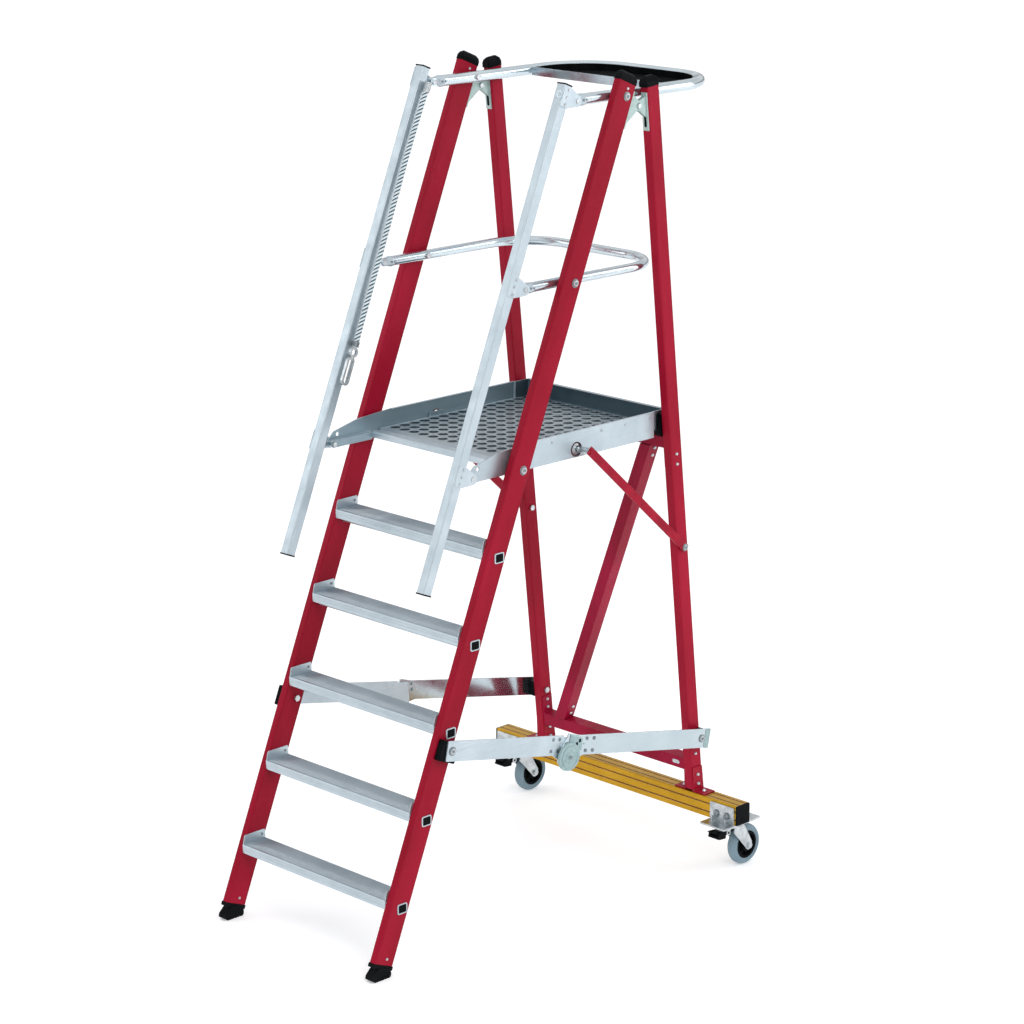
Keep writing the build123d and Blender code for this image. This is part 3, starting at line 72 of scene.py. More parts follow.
def on_rear(along, back=0.0, x=0.0):
    """Point along the rear frame's line, back square to it, and to the side."""
    return REAR_BASE + along * REAR_UP + back * REAR_BACK + x * X_AXIS


POST_PIVOT = on_front(PIVOTS["platform"]) - LINK * Y_AXIS
SPREAD_FRONT = on_front(PIVOTS["spreader"])

# -------------------- camera and light
scene = bpy.context.scene
scene.view_settings.view_transform = "Standard"

camera_data = bpy.data.cameras.new("camera")
camera_data.lens = 110
camera_data.sensor_width = 36
camera_data.clip_end = 100
camera = bpy.data.objects.new("camera", camera_data)
scene.collection.objects.link(camera)
camera.location = (6.2063, -6.07775, 3.4961)
view_direction = Vector((-0.6824, 0.6824, -0.2622))
camera.rotation_mode = "QUATERNION"
camera.rotation_quaternion = view_direction.to_track_quat("-Z", "Y")
scene.camera = camera


def area_light(name, place, size, power):
    """Soft rectangular lamp aimed at the ladder's middle."""
    data = bpy.data.lights.new(name, "AREA")
    data.shape = "RECTANGLE"
    data.size, data.size_y = size
    data.energy = power
    lamp = bpy.data.objects.new(name, data)
    scene.collection.objects.link(lamp)
    lamp.location = place
    target = Vector((0, 0, 1.2))
    lamp.rotation_euler = (target - Vector(place)).to_track_quat("-Z", "Y").to_euler()


area_light("key_light", (5.0, -2.0, 4.5), (2.5, 2.5), 95)
area_light("side_light", (3.5, 5.0, 3.0), (1.5, 4.0), 60)
area_light("fill_light", (-5.0, -4.0, 3.5), (2.0, 3.0), 30)


def studio_sky():
    """White sky that darkens towards the horizon, so that metal has something to reflect."""
    world = bpy.data.worlds.new("studio")
    world.use_nodes = True
    tree = world.node_tree
    direction = tree.nodes.new("ShaderNodeTexCoord")
    split = tree.nodes.new("ShaderNodeSeparateXYZ")
    bands = tree.nodes.new("ShaderNodeValToRGB")
    background = tree.nodes["Background"]
    tree.links.new(direction.outputs["Generated"], split.inputs["Vector"])
    tree.links.new(split.outputs["Z"], bands.inputs["Fac"])
    tree.links.new(bands.outputs["Color"], background.inputs["Color"])
    horizon, zenith = bands.color_ramp.elements
    horizon.position, horizon.color = 0.02, (0.30, 0.32, 0.34, 1)
    zenith.position, zenith.color = 0.75, (1.0, 1.0, 1.0, 1)
    for height, level in ((0.12, 0.45), (0.22, 0.95), (0.45, 0.72)):
        band = bands.color_ramp.elements.new(height)
        band.color = (level, level, level * 1.01, 1)
    background.inputs["Strength"].default_value = 1.0
    scene.world = world


studio_sky()


# -------------------- materials
MATERIALS = {}


class Look:
    """A procedural material: helpers that add and join its nodes."""

    def __init__(self, name, lean=0.0, **principled):
        self.material = bpy.data.materials.new(name)
        self.material.use_nodes = True
        MATERIALS[name] = self.material
        self.tree = self.material.node_tree
        self.shader = self.tree.nodes["Principled BSDF"]
        for socket, value in principled.items():
            self.shader.inputs[socket.replace("_", " ")].default_value = value
        self.coordinates = self.node("ShaderNodeTexCoord").outputs["Object"]
        self.lean = lean
        self.normal = None

    def node(self, kind, **settings):
        made = self.tree.nodes.new(kind)
        for key, value in settings.items():
            setattr(made, key, value)
        return made

    def wire(self, output, socket):
        self.tree.links.new(output, socket)

    def feed(self, value, socket):
        """Joins an output to a socket, or sets the socket to a fixed value."""
        if isinstance(value, bpy.types.NodeSocket):
            self.wire(value, socket)
        else:
            socket.default_value = value

    def placed(self, scale=(1, 1, 1), turn=(0, 0, 0)):
        """Coordinates turned so that z runs along the piece, then stretched."""
        mapping = self.node("ShaderNodeMapping", vector_type="TEXTURE")
        mapping.inputs["Rotation"].default_value = (turn[0] - self.lean, turn[1], turn[2])
        mapping.inputs["Scale"].default_value = scale
        self.wire(self.coordinates, mapping.inputs["Vector"])
        return mapping.outputs["Vector"]

    def noise(self, scale, detail=4.0, stretch=(1, 1, 1), rough=0.55, turn=(0, 0, 0)):
        texture = self.node("ShaderNodeTexNoise")
        texture.inputs["Scale"].default_value = scale
        texture.inputs["Detail"].default_value = detail
        texture.inputs["Roughness"].default_value = rough
        self.wire(self.placed(stretch, turn), texture.inputs["Vector"])
        return texture.outputs["Fac"]

    def ramp(self, value, low, high, start=0.0, end=1.0):
        """Value remapped from low..high to start..end, clamped."""
        remap = self.node("ShaderNodeMapRange")
        remap.inputs["From Min"].default_value = low
        remap.inputs["From Max"].default_value = high
        remap.inputs["To Min"].default_value = start
        remap.inputs["To Max"].default_value = end
        self.wire(value, remap.inputs["Value"])
        return remap.outputs["Result"]

    def mix(self, factor, first, second):
        """Colour mixed by a factor; colours are red, green and blue, or outputs."""
        blend = self.node("ShaderNodeMix", data_type="RGBA")
        self.wire(factor, blend.inputs["Factor"])
        for colour, socket in ((first, blend.inputs[6]), (second, blend.inputs[7])):
            self.feed((*colour, 1) if isinstance(colour, tuple) else colour, socket)
        return blend.outputs[2]

    def multiply(self, first, second):
        product = self.node("ShaderNodeMath", operation="MULTIPLY")
        self.wire(first, product.inputs[0])
        self.feed(second, product.inputs[1])
        return product.outputs[0]

    def dot(self, first, second):
        """Dot product of an output with an output or a fixed direction."""
        product = self.node("ShaderNodeVectorMath", operation="DOT_PRODUCT")
        self.wire(first, product.inputs[0])
        self.feed(second, product.inputs[1])
        return product.outputs["Value"]

    def soft_edges(self, radius):
        """Rounds the CAD's sharp corners in the shading and returns a mask of worn edges."""
        bevel = self.node("ShaderNodeBevel", samples=4)
        bevel.inputs["Radius"].default_value = radius
        self.normal = bevel.outputs["Normal"]
        flat_normal = self.node("ShaderNodeNewGeometry").outputs["Normal"]
        return self.ramp(self.dot(self.normal, flat_normal), 0.995, 0.86)

    def along(self, direction, offset=0.0):
        """Distance of a point along a direction, past an offset."""
        shifted = self.node("ShaderNodeMath", operation="SUBTRACT")
        self.wire(self.dot(self.coordinates, direction), shifted.inputs[0])
        shifted.inputs[1].default_value = offset
        return shifted.outputs[0]

    def line(self, direction, offset, half_width):
        """Mask of a thin plane across a direction."""
        distance = self.node("ShaderNodeMath", operation="ABSOLUTE")
        self.wire(self.along(direction, offset), distance.inputs[0])
        return self.ramp(distance.outputs[0], half_width, half_width * 0.5)

    def facing(self, direction):
        """Mask of the faces that look along a direction."""
        true_normal = self.node("ShaderNodeNewGeometry").outputs["True Normal"]
        return self.ramp(self.dot(true_normal, direction), 0.8, 0.95)

    def facing_middle(self):
        """Mask of the faces that look towards the plane half way between the two sides."""
        split = self.node("ShaderNodeSeparateXYZ")
        self.wire(self.node("ShaderNodeNewGeometry").outputs["True Normal"], split.inputs["Vector"])
        return self.ramp(self.multiply(self.along(X_AXIS), split.outputs["X"]), -0.05, -0.15)

    def bump(self, height, distance, strength=1.0):
        """Adds relief to the surface, over what is there already."""
        relief = self.node("ShaderNodeBump")
        relief.inputs["Distance"].default_value = distance
        relief.inputs["Strength"].default_value = strength
        self.wire(height, relief.inputs["Height"])
        if self.normal is not None:
            self.wire(self.normal, relief.inputs["Normal"])
        self.normal = relief.outputs["Normal"]

    def done(self, colour, roughness=None):
        """Joins the finished colour, roughness and relief to the shader."""
        self.wire(colour, self.shader.inputs["Base Color"])
        if roughness is not None:
            self.wire(roughness, self.shader.inputs["Roughness"])
        if self.normal is not None:
            self.wire(self.normal, self.shader.inputs["Normal"])


RED_FIBRE, RED_SCUFF, RED_WORN, RED_SEAM = ((0.42, 0.012, 0.035), (0.50, 0.10, 0.12), (0.52, 0.06, 0.08),
                                            (0.10, 0.004, 0.008))


def fibreglass(name, lean, deep=(0.25, 0.003, 0.016), bright=(0.35, 0.006, 0.028), edge_lines=()):
    """Red gel-coated GRP: lengthwise glass fibres under a satin skin, with scuffs, seams and worn edges."""
    look = Look(name, lean, Coat_Weight=0.03, Coat_Roughness=0.25, Specular_IOR_Level=0.07)
    worn = look.soft_edges(0.0022)
    fibres = look.noise(900, 3, (1, 1, 60))
    clouds = look.noise(5, 3, (1, 1, 2.5))
    colour = look.mix(look.ramp(clouds, 0.35, 0.65), deep, bright)
    colour = look.mix(look.ramp(fibres, 0.56, 0.72, 0.0, 0.35), colour, RED_FIBRE)
    scratches = look.noise(260, 2, (1, 1, 22), turn=(0.35, 0.2, 0))
    scuffs = look.multiply(look.ramp(scratches, 0.66, 0.74), look.ramp(look.noise(9, 3), 0.5, 0.62))
    colour = look.mix(look.multiply(scuffs, 0.25), colour, RED_SCUFF)
    colour = look.mix(look.multiply(worn, 0.30), colour, RED_WORN)
    look.bump(fibres, 0.00012, 0.5)
    for direction, offset in edge_lines:
        seam = look.line(direction, offset, 0.0009)
        colour = look.mix(look.multiply(seam, 0.55), colour, RED_SEAM)
    look.bump(look.noise(140, 2), 0.0002, 0.35)
    look.done(colour, look.ramp(look.noise(40, 4, (1, 1, 8)), 0.3, 0.7, 0.30, 0.46))


DIE_LINE_STRETCH = {"x": (50, 1, 1), "y": (1, 50, 1), "z": (1, 1, 50)}
METAL_MARK, METAL_WORN = (0.30, 0.35, 0.38), (0.80, 0.85, 0.88)


def extruded(name, lean=0.0, tone=(0.56, 0.64, 0.69), dark=(0.45, 0.53, 0.58), along="z",
             rough=(0.26, 0.40), metal=0.85, streaks=420, top=None, inner=None):
    """Mill-finish aluminium with die lines along the extrusion, faint handling marks and bright edges."""
    look = Look(name, lean, Metallic=metal)
    worn = look.soft_edges(0.0011)
    lines = look.noise(streaks, 3, DIE_LINE_STRETCH[along])
    haze = look.noise(7, 4)
    colour = look.mix(look.ramp(haze, 0.3, 0.7), dark, tone)
    colour = look.mix(look.ramp(lines, 0.52, 0.75, 0, 0.4), colour, tuple(0.82 * c for c in dark))
    specks = look.ramp(look.noise(120, 5, rough=0.7), 0.60, 0.70)
    marks = look.multiply(specks, look.ramp(haze, 0.5, 0.62))
    colour = look.mix(look.multiply(marks, 0.35), colour, METAL_MARK)
    # Faces that look towards the middle, and faces that look towards -Y, take the darker inner colour:
    # painted shade.
    if inner is not None:
        colour = look.mix(look.facing_middle(), colour, inner)
        colour = look.mix(look.facing(-Y_AXIS), colour, inner)
    # Faces that look upward take the darker top colour: painted shade, as between a tread's ridges.
    if top is not None:
        colour = look.mix(look.facing(Z_AXIS), colour, top)
    colour = look.mix(look.multiply(worn, 0.5), colour, METAL_WORN)
    look.bump(lines, 0.00006, 0.6)
    look.done(colour, look.ramp(look.noise(30, 4), 0.3, 0.7, *rough))


ZINC_SPANGLE, ZINC_WORN = (0.88, 0.90, 0.92), (0.92, 0.93, 0.94)


def zinc(name, tone=(0.58, 0.62, 0.64), dark=(0.36, 0.40, 0.42)):
    """Zinc-plated steel: fine spangle, dull patches and rubbed edges."""
    look = Look(name, Metallic=0.95)
    worn = look.soft_edges(0.0006)
    cells = look.node("ShaderNodeTexVoronoi", feature="F1")
    cells.inputs["Scale"].default_value = 380
    look.wire(look.coordinates, cells.inputs["Vector"])
    colour = look.mix(look.ramp(look.noise(55, 4), 0.35, 0.65), dark, tone)
    colour = look.mix(look.ramp(cells.outputs["Distance"], 0.0, 0.9, 0, 0.18), colour, ZINC_SPANGLE)
    colour = look.mix(look.multiply(worn, 0.4), colour, ZINC_WORN)
    look.bump(look.noise(600, 2), 0.00005, 0.5)
    look.done(colour, look.ramp(look.noise(70, 3), 0.3, 0.7, 0.24, 0.42))


CAST_WORN = (0.74, 0.80, 0.78)


def cast(name, tone=(0.42, 0.54, 0.52), dark=(0.30, 0.40, 0.38), metal=0.25):
    """Pale grey-green casting with a fine sand texture."""
    look = Look(name, Metallic=metal, Specular_IOR_Level=0.5)
    worn = look.soft_edges(0.0009)
    colour = look.mix(look.ramp(look.noise(45, 4), 0.35, 0.65), dark, tone)
    colour = look.mix(look.multiply(worn, 0.5), colour, CAST_WORN)
    look.bump(look.noise(700, 3), 0.00018, 0.55)
    look.done(colour, look.ramp(look.noise(120, 3), 0.3, 0.7, 0.38, 0.55))


def moulded(name, tone=(0.002, 0.003, 0.0035), pale=(0.009, 0.010, 0.012), rough=(0.34, 0.5), grain=520,
            depth=0.00012, shine=0.035):
    """Moulded plastic or rubber: fine grain, a dusty bloom and rubbed pale edges."""
    look = Look(name, Specular_IOR_Level=shine)
    worn = look.soft_edges(0.0009)
    bloom = look.ramp(look.noise(26, 5), 0.42, 0.72)
    colour = look.mix(look.multiply(bloom, 0.55), tone, pale)
    colour = look.mix(look.multiply(worn, 0.45), colour, tuple(min(1, 2.2 * c) for c in pale))
    look.bump(look.noise(grain, 2), depth, 0.6)
    look.done(colour, look.ramp(look.noise(60, 3), 0.3, 0.7, *rough))


BARE_STEEL = (0.55, 0.50, 0.49)


def powder_coat(name, tone=(0.36, 0.006, 0.026), dark=(0.26, 0.003, 0.018)):
    """Red powder coat on steel: orange-peel relief and chipped edges."""
    look = Look(name, Specular_IOR_Level=0.10, Coat_Weight=0.03, Coat_Roughness=0.25)
    worn = look.soft_edges(0.0009)
    colour = look.mix(look.ramp(look.noise(18, 3), 0.35, 0.65), dark, tone)
    chips = look.multiply(worn, look.ramp(look.noise(150, 4), 0.52, 0.60))
    colour = look.mix(look.multiply(chips, 0.8), colour, BARE_STEEL)
    look.bump(look.noise(420, 2), 0.00015, 0.5)
    look.done(colour, look.ramp(look.noise(90, 3), 0.3, 0.7, 0.32, 0.46))


ROPE_SHADE, ROPE_WHITE, ROPE_GRIME = (0.60, 0.66, 0.70), (0.90, 0.93, 0.95), (0.50, 0.56, 0.60)


def rope_fibre(name):
    """Pale polyamide rope yarn: fine twisted filaments with grey shading in the hollows."""
    look = Look(name, Sheen_Weight=0.35, Sheen_Roughness=0.5, Specular_IOR_Level=0.35)
    yarn = look.noise(2600, 2, (1, 1, 4))
    colour = look.mix(look.ramp(yarn, 0.35, 0.7), ROPE_SHADE, ROPE_WHITE)
    colour = look.mix(look.ramp(look.noise(30, 3), 0.5, 0.75, 0, 0.25), colour, ROPE_GRIME)
    look.bump(yarn, 0.0003, 0.7)
    look.done(colour, look.ramp(yarn, 0.3, 0.7, 0.55, 0.75))


# Seams run along the stiles 5 mm inside their front and rear edges, at a distance back from the origin
FRONT_SEAMS = [(FRONT_BACK, STEP.dot(FRONT_BACK) + edge)
               for edge in (STILE_FRONT + 0.005, STILE_REAR - 0.005)]
REAR_SEAMS = [(REAR_BACK, REAR_BASE.dot(REAR_BACK) + edge) for edge in (-0.019, 0.019)]

fibreglass("front_red", FRONT_LEAN, edge_lines=FRONT_SEAMS)
fibreglass("rear_red", -REAR_LEAN, edge_lines=REAR_SEAMS)
fibreglass("bar_red", -REAR_LEAN, (0.22, 0.003, 0.020), (0.32, 0.005, 0.036))
powder_coat("red_paint")
extruded("post_aluminium", FRONT_LEAN, rough=(0.34, 0.48))
extruded("rail_aluminium", tone=(0.62, 0.70, 0.74), dark=(0.52, 0.60, 0.65), rough=(0.14, 0.24), along="y",
         streaks=160, metal=0.95)
extruded("bar_aluminium", rough=(0.36, 0.5), along="y")
# The treads' darker top colour is painted shade between their ridges.
extruded("tread_aluminium", rough=(0.34, 0.48), along="x", top=(0.37, 0.44, 0.50))
extruded("tread_ribs", tone=(0.42, 0.49, 0.54), dark=(0.32, 0.38, 0.43), rough=(0.3, 0.44), along="x")
# The inner colours of the side panels and of the deck and toe board are painted shade on faces turned
# inwards and towards -Y.
extruded("panel_aluminium", tone=(0.54, 0.62, 0.67), dark=(0.44, 0.52, 0.57), rough=(0.34, 0.5), along="y",
         inner=(0.27, 0.36, 0.41))
extruded("tray_aluminium", tone=(0.54, 0.62, 0.67), dark=(0.40, 0.47, 0.52), rough=(0.16, 0.28), along="x",
         metal=0.95)
extruded("deck_aluminium", tone=(0.42, 0.49, 0.53), dark=(0.32, 0.38, 0.42), rough=(0.3, 0.46), along="x",
         inner=(0.095, 0.145, 0.175))
extruded("gold_aluminium", tone=(0.60, 0.34, 0.020), dark=(0.45, 0.24, 0.012), rough=(0.3, 0.44), along="x",
         metal=0.9)
extruded("link_mirror", tone=(0.51, 0.59, 0.63), dark=(0.44, 0.52, 0.56), rough=(0.10, 0.18), along="y",
         metal=0.97)
zinc("zinc_steel")
zinc("dark_rivet", (0.16, 0.20, 0.22), (0.09, 0.12, 0.13))
cast("hinge_casting")
cast("disc_plastic", (0.32, 0.45, 0.46), (0.25, 0.36, 0.37), 0.0)
moulded("black_plastic")
moulded("black_rubber", (0.003, 0.004, 0.0045), (0.010, 0.011, 0.013), (0.5, 0.7), 300, 0.0002, 0.05)
moulded("stub_ring_brown", (0.045, 0.006, 0.010), (0.08, 0.015, 0.018), (0.4, 0.55), 400, 0.0001)
moulded("grey_tyre", (0.17, 0.25, 0.30), (0.24, 0.33, 0.38), (0.5, 0.66), 340, 0.0002, 0.3)
# Colour of the dark core between the rope's strands: painted shade.
moulded("rope_hollow_shade", (0.03, 0.10, 0.13), (0.06, 0.16, 0.19), (0.6, 0.8), 900, 0.0002, 0.1)
# Colour of the dark sheet under the deck's holes: painted shade.
moulded("deck_shade", (0.030, 0.048, 0.060), (0.05, 0.07, 0.085), (0.5, 0.7), 300, 0.0002, 0.2)
rope_fibre("white_rope")

# CAD nodes by finish; the ones not listed are black plastic
NODES_BY_LOOK = {
    "front_red": ("front_stile_left", "front_stile_right"),
    "rear_red": ("rear_stile_left", "rear_stile_right"),
    "bar_red": ("upper_crossbar", "lower_crossbar", "diagonal_brace"),
    "red_paint": ("foot_brackets", "platform_struts"),
    "post_aluminium": ("guard_post_left", "guard_post_right", "post_brackets"),
    "rail_aluminium": ("mid_rail", "top_rail"),
    "panel_aluminium": ("platform_side_left", "platform_side_right"),
    "deck_aluminium": ("platform_toe_board", "platform_deck"),
    "tray_aluminium": ("tool_tray",),
    "tread_aluminium": ("platform_nosing", *(f"tread_{number + 1}" for number in range(STEP_COUNT))),
    "bar_aluminium": ("spreader_front_links",),
    "link_mirror": ("spreader_rear_links",),
    "disc_plastic": ("spreader_discs",),
    "hinge_casting": ("front_hinge_plates", "rear_hinge_plates"),
    "gold_aluminium": ("traverse",),
    "zinc_steel": ("castor_clamps", "frame_rivets", "front_pivot_bolts", "rear_frame_bolts",
                   "rear_pivot_bolts", "post_bolts", "strut_stubs", "rope_hook", "castor_fork_left",
                   "castor_fork_right", "castor_axle_left", "castor_axle_right"),
    "grey_tyre": ("tyre_left", "tyre_right"),
    "black_rubber": ("front_foot_left", "front_foot_right"),
    "white_rope": ("safety_rope",),
}
LOOK_OF_NODE = {node_name: look for look, names in NODES_BY_LOOK.items() for node_name in names}

for node_name, node in NODES.items():
    node.data.materials.clear()
    node.data.materials.append(MATERIALS[LOOK_OF_NODE.get(node_name, "black_plastic")])


# -------------------- mesh helpers
def placed_at(origin, outward, upward=Z_AXIS):
    """Matrix at a point, with local z outward and local y as nearly upward as it can be."""
    z = Vector(outward).normalized()
    x = Vector(upward).cross(z).normalized()
    turned = Matrix((x, z.cross(x), z)).transposed().to_4x4()
    turned.translation = Vector(origin)
    return turned


def side_place(side, x, at, up=Z_AXIS):
    """Place on a face that looks outwards at a distance from the middle."""
    return placed_at((side * x, at.y, at.z), side * X_AXIS, up)


def polar(radius, angle, height=0.0):
    """Point at a radius and an angle round local z."""
    return Vector((radius * cos(angle), radius * sin(angle), height))


def angles(count):
    """Angles that divide a full turn evenly."""
    return [2 * pi * i / count for i in range(count)]


def rounded_outline(width, depth, radius, steps=5):
    """Points of a rounded rectangle about its middle, anticlockwise."""
    points = []
    corners = ((1, 1, 0), (-1, 1, 90), (-1, -1, 180), (1, -1, 270))
    for sign_x, sign_y, start in corners:
        middle = Vector((sign_x * (width / 2 - radius), sign_y * (depth / 2 - radius), 0))
        points += [middle + polar(radius, radians(start + 90 * step / steps)) for step in range(steps + 1)]
    return points


class Shape:
    """Mesh of one detail piece, put together from turned, extruded and chamfered bits in the row frame."""

    def __init__(self):
        self.vertices, self.faces = [], []

    def skin(self, rings, ends=True, round_again=False):
        """Skin over rings of points, closed at both ends or joined to itself if asked."""
        start, count, levels = len(self.vertices), len(rings[0]), len(rings)
        for ring in rings:
            self.vertices.extend(ring)
        for level in range(levels if round_again else levels - 1):
            low, high = start + level * count, start + (level + 1) % levels * count
            for i in range(count):
                after = (i + 1) % count
                self.faces.append((low + i, low + after, high + after, high + i))
        if ends and not round_again:
            last = start + (levels - 1) * count
            self.faces.append(tuple(reversed(range(start, start + count))))
            self.faces.append(tuple(range(last, last + count)))

    def turned(self, place, profile, sides=28):
        """Solid of revolution round local z from (radius, height) pairs; six sides make a hexagon."""
        self.skin([[place @ polar(radius, angle, height) for angle in angles(sides)]
                   for radius, height in profile])

    def ring(self, place, outer, inner, low, high, sides=32):
        """Flat washer or collar round local z."""
        profile = ((inner, low), (outer, low), (outer, high), (inner, high))
        self.skin([[place @ polar(radius, angle, height) for radius, height in profile]
                   for angle in angles(sides)], round_again=True)

    def slab(self, place, width, depth, height, radius=0.001, edge=0.0004):
        """Rounded rectangle standing on local z = 0, with a small chamfer round its top."""
        rings = []
        for level, inset in ((0, 0), (height - edge, 0), (height, edge)):
            outline = rounded_outline(width - 2 * inset, depth - 2 * inset, max(radius - inset, 0.00005))
            rings.append([place @ (point + level * Z_AXIS) for point in outline])
        self.skin(rings)

    def bar(self, x_start, x_end, outline):
        """Outline of (y, z) points extruded along X."""
        self.skin([[Vector((x, y, z)) for y, z in outline] for x in (x_start, x_end)])

    def block(self, x_start, x_end, y_start, y_end, z_low, z_high):
        """Strip or plate between two places along each axis."""
        self.bar(x_start, x_end, ((y_start, z_low), (y_end, z_low), (y_end, z_high), (y_start, z_high)))

    def rib(self, reach, y, foot, top, z_low, z_high):
        """Ridge along X, to both sides of the middle, that narrows from half-width foot to top."""
        self.bar(-reach, reach, ((y - foot, z_low), (y + foot, z_low), (y + top, z_high), (y - top, z_high)))

    def publish(self, name, body, slot, look, replaces=()):
        """Makes the piece, with crisp edges and outward normals, and hangs it on its CAD body."""
        mesh = bpy.data.meshes.new(name)
        mesh.from_pydata([tuple(vertex) for vertex in self.vertices], [], self.faces)
        oriented = bmesh.new()
        oriented.from_mesh(mesh)
        bmesh.ops.recalc_face_normals(oriented, faces=oriented.faces)
        oriented.to_mesh(mesh)
        oriented.free()
        mesh.shade_smooth()
        mesh.set_sharp_from_angle(angle=radians(38))
        mesh.materials.append(MATERIALS[look])
        piece = bpy.data.objects.new(name, mesh)
        scene.collection.objects.link(piece)
        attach(piece, body)
        if replaces:
            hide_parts(*replaces)
        return piece


# Heads of screws and rivets, as (radius, height) pairs round local z
PANEL_SCREW = ((0.0042, 0), (0.0040, 0.0010), (0.0022, 0.0018))
END_SCREW = ((0.0036, 0), (0.0034, 0.0009), (0.0018, 0.0015))
TUBE_RIVET = ((0.0034, 0), (0.0034, 0.0008), (0.0020, 0.0014))
GATE_RIVET = ((0.0030, 0), (0.0030, 0.0013), (0.0016, 0.0020))
FLANGE_RIVET = ((0.0040, 0), (0.0036, 0.0008), (0.0024, 0.0012))
FLUSH_RIVET = ((0.0058, 0), (0.0058, 0.0002), (0.0050, 0.0005))
LINK_RIVET = ((0.0058, 0), (0.0056, 0.0014), (0.0040, 0.0024))
HEX_CROWN = ((0.0052, 0), (0.0052, 0.0014), (0.0044, 0.0020))
DISC_BOLT = ((0.0062, 0), (0.0062, 0.0012), (0.0050, 0.0018))
CLAMP_CROWN = ((0.0066, 0.0066), (0.0066, 0.0078), (0.0050, 0.0084))

# -------------------- safety rope
ROPE_R, ROPE_X = 0.009, -0.252
STRANDS, STRAND_R, STRAND_ORBIT, ROPE_PITCH, HOLLOW_SHADE_R = 3, 0.00418, 0.00482, 0.036, 0.0071
SLEEVE_END_R, SLEEVE_R, WHIPPING_LOW_R, WHIPPING_HIGH_R, WHIPPINGS = 0.0092, 0.0104, 0.0098, 0.0106, 8
HOOK_BACK, HOOK_MIDDLE, SWIVEL_BACK = -0.042, 0.209, -0.039


def rope_point(back, along, x=ROPE_X):
    """Point given square to the post's pivot line and along it."""
    return x * X_AXIS + POST_PIVOT + along * FRONT_UP + back * FRONT_BACK


ROPE_ROUTE = [rope_point(-0.0375, 1.062), rope_point(-0.045, 0.905),
              rope_point(-0.0425, 0.640, ROPE_X + 0.002), rope_point(-0.0405, 0.400, ROPE_X + 0.001),
              rope_point(-0.0385, 0.281)]


def spline_points(route):
    """Points along the smooth NURBS line that has the route as its control points."""
    curve = bpy.data.curves.new("rope_route", "CURVE")
    curve.dimensions = "3D"
    curve.resolution_u = 160
    spline = curve.splines.new("NURBS")
    spline.points.add(len(route) - 1)
    for point, place in zip(spline.points, route):
        point.co = (*place, 1)
    spline.order_u = 3
    spline.use_endpoint_u = True
    holder = bpy.data.objects.new("rope_route", curve)
    line = bpy.data.meshes.new_from_object(holder)
    points = [vertex.co.copy() for vertex in line.vertices]
    bpy.data.objects.remove(holder)
    bpy.data.meshes.remove(line)
    return points


def rope_strands(path):
    """Laid strands twisted round the rope's line."""
    shape = Shape()
    for strand in range(STRANDS):
        travelled, rings = 0.0, []
        for i, point in enumerate(path):
            before, after = path[max(i - 1, 0)], path[min(i + 1, len(path) - 1)]
            travelled += (point - before).length
            tangent = (after - before).normalized()
            across = (X_AXIS - tangent * tangent.x).normalized()
            upward = tangent.cross(across)
            turn = 2 * pi * (travelled / ROPE_PITCH + strand / STRANDS)
            outward = cos(turn) * across + sin(turn) * upward
            around = cos(turn) * upward - sin(turn) * across
            middle = point + STRAND_ORBIT * outward
            rings.append([middle + STRAND_R * (cos(a) * outward + sin(a) * around) for a in angles(10)])
        shape.skin(rings)
    return shape.publish("rope_strands", "posts", "white_rope", "white_rope", ["safety_rope"])


def rope_hollow_shade(path):
    """Dark core that shows in the hollows between the strands: painted shade."""
    shape = Shape()
    shape.skin([[point + HOLLOW_SHADE_R * (cos(a) * X_AXIS + sin(a) * FRONT_BACK) for a in angles(14)]
                for point in path[::4] + [path[-1]]])
    return shape.publish("rope_hollow_shade_core", "posts", "white_rope", "rope_hollow_shade")


def rope_end(name, path, end, inner, length, look):
    """Sleeve with whipping turns over the rope's end."""
    shape = Shape()
    place = placed_at(path[end], path[inner] - path[end], X_AXIS)
    sleeve = [(SLEEVE_END_R, 0.0), (SLEEVE_R, 0.0015)]
    for turn in range(WHIPPINGS):
        start = 0.003 + (length - 0.006) * turn / WHIPPINGS
        sleeve += [(WHIPPING_LOW_R, start), (WHIPPING_HIGH_R, start + 0.5 * length / WHIPPINGS)]
    sleeve += [(SLEEVE_R, length - 0.0015), (SLEEVE_END_R, length)]
    shape.turned(place, sleeve)
    return shape.publish(name, "posts", "zinc_steel", look)


def hook_details():
    """Spring gate, hinge rivets and swivel collar of the rope's snap hook."""
    shape = Shape()
    for along in (HOOK_MIDDLE + 0.022, HOOK_MIDDLE - 0.022):
        for back in (HOOK_BACK + 0.0108, HOOK_BACK - 0.0108):
            shape.turned(placed_at(rope_point(back, along, ROPE_X + 0.0035), X_AXIS), GATE_RIVET, 18)
    gate = placed_at(rope_point(HOOK_BACK, HOOK_MIDDLE, ROPE_X + 0.0040), X_AXIS, FRONT_UP)
    shape.slab(gate, 0.0035, 0.066, 0.0018, 0.0016)
    swivel = placed_at(rope_point(SWIVEL_BACK, HOOK_MIDDLE + 0.0365), FRONT_UP, X_AXIS)
    shape.turned(swivel, ((0.0052, 0), (0.0062, 0.001), (0.0062, 0.0065), (0.0052, 0.0075)))
    return shape.publish("rope_hook_gate", "posts", "zinc_steel", "zinc_steel")


ROPE_PATH = spline_points(ROPE_ROUTE)
rope = rope_strands(ROPE_PATH)
rope_pieces = [rope_hollow_shade(ROPE_PATH), rope_end("rope_sleeve_top", ROPE_PATH, 0, 12, 0.030, "zinc_steel"),
               rope_end("rope_sleeve_foot", ROPE_PATH, -1, -13, 0.016, "dark_rivet"), hook_details(),
               NODES["rope_hook"]]

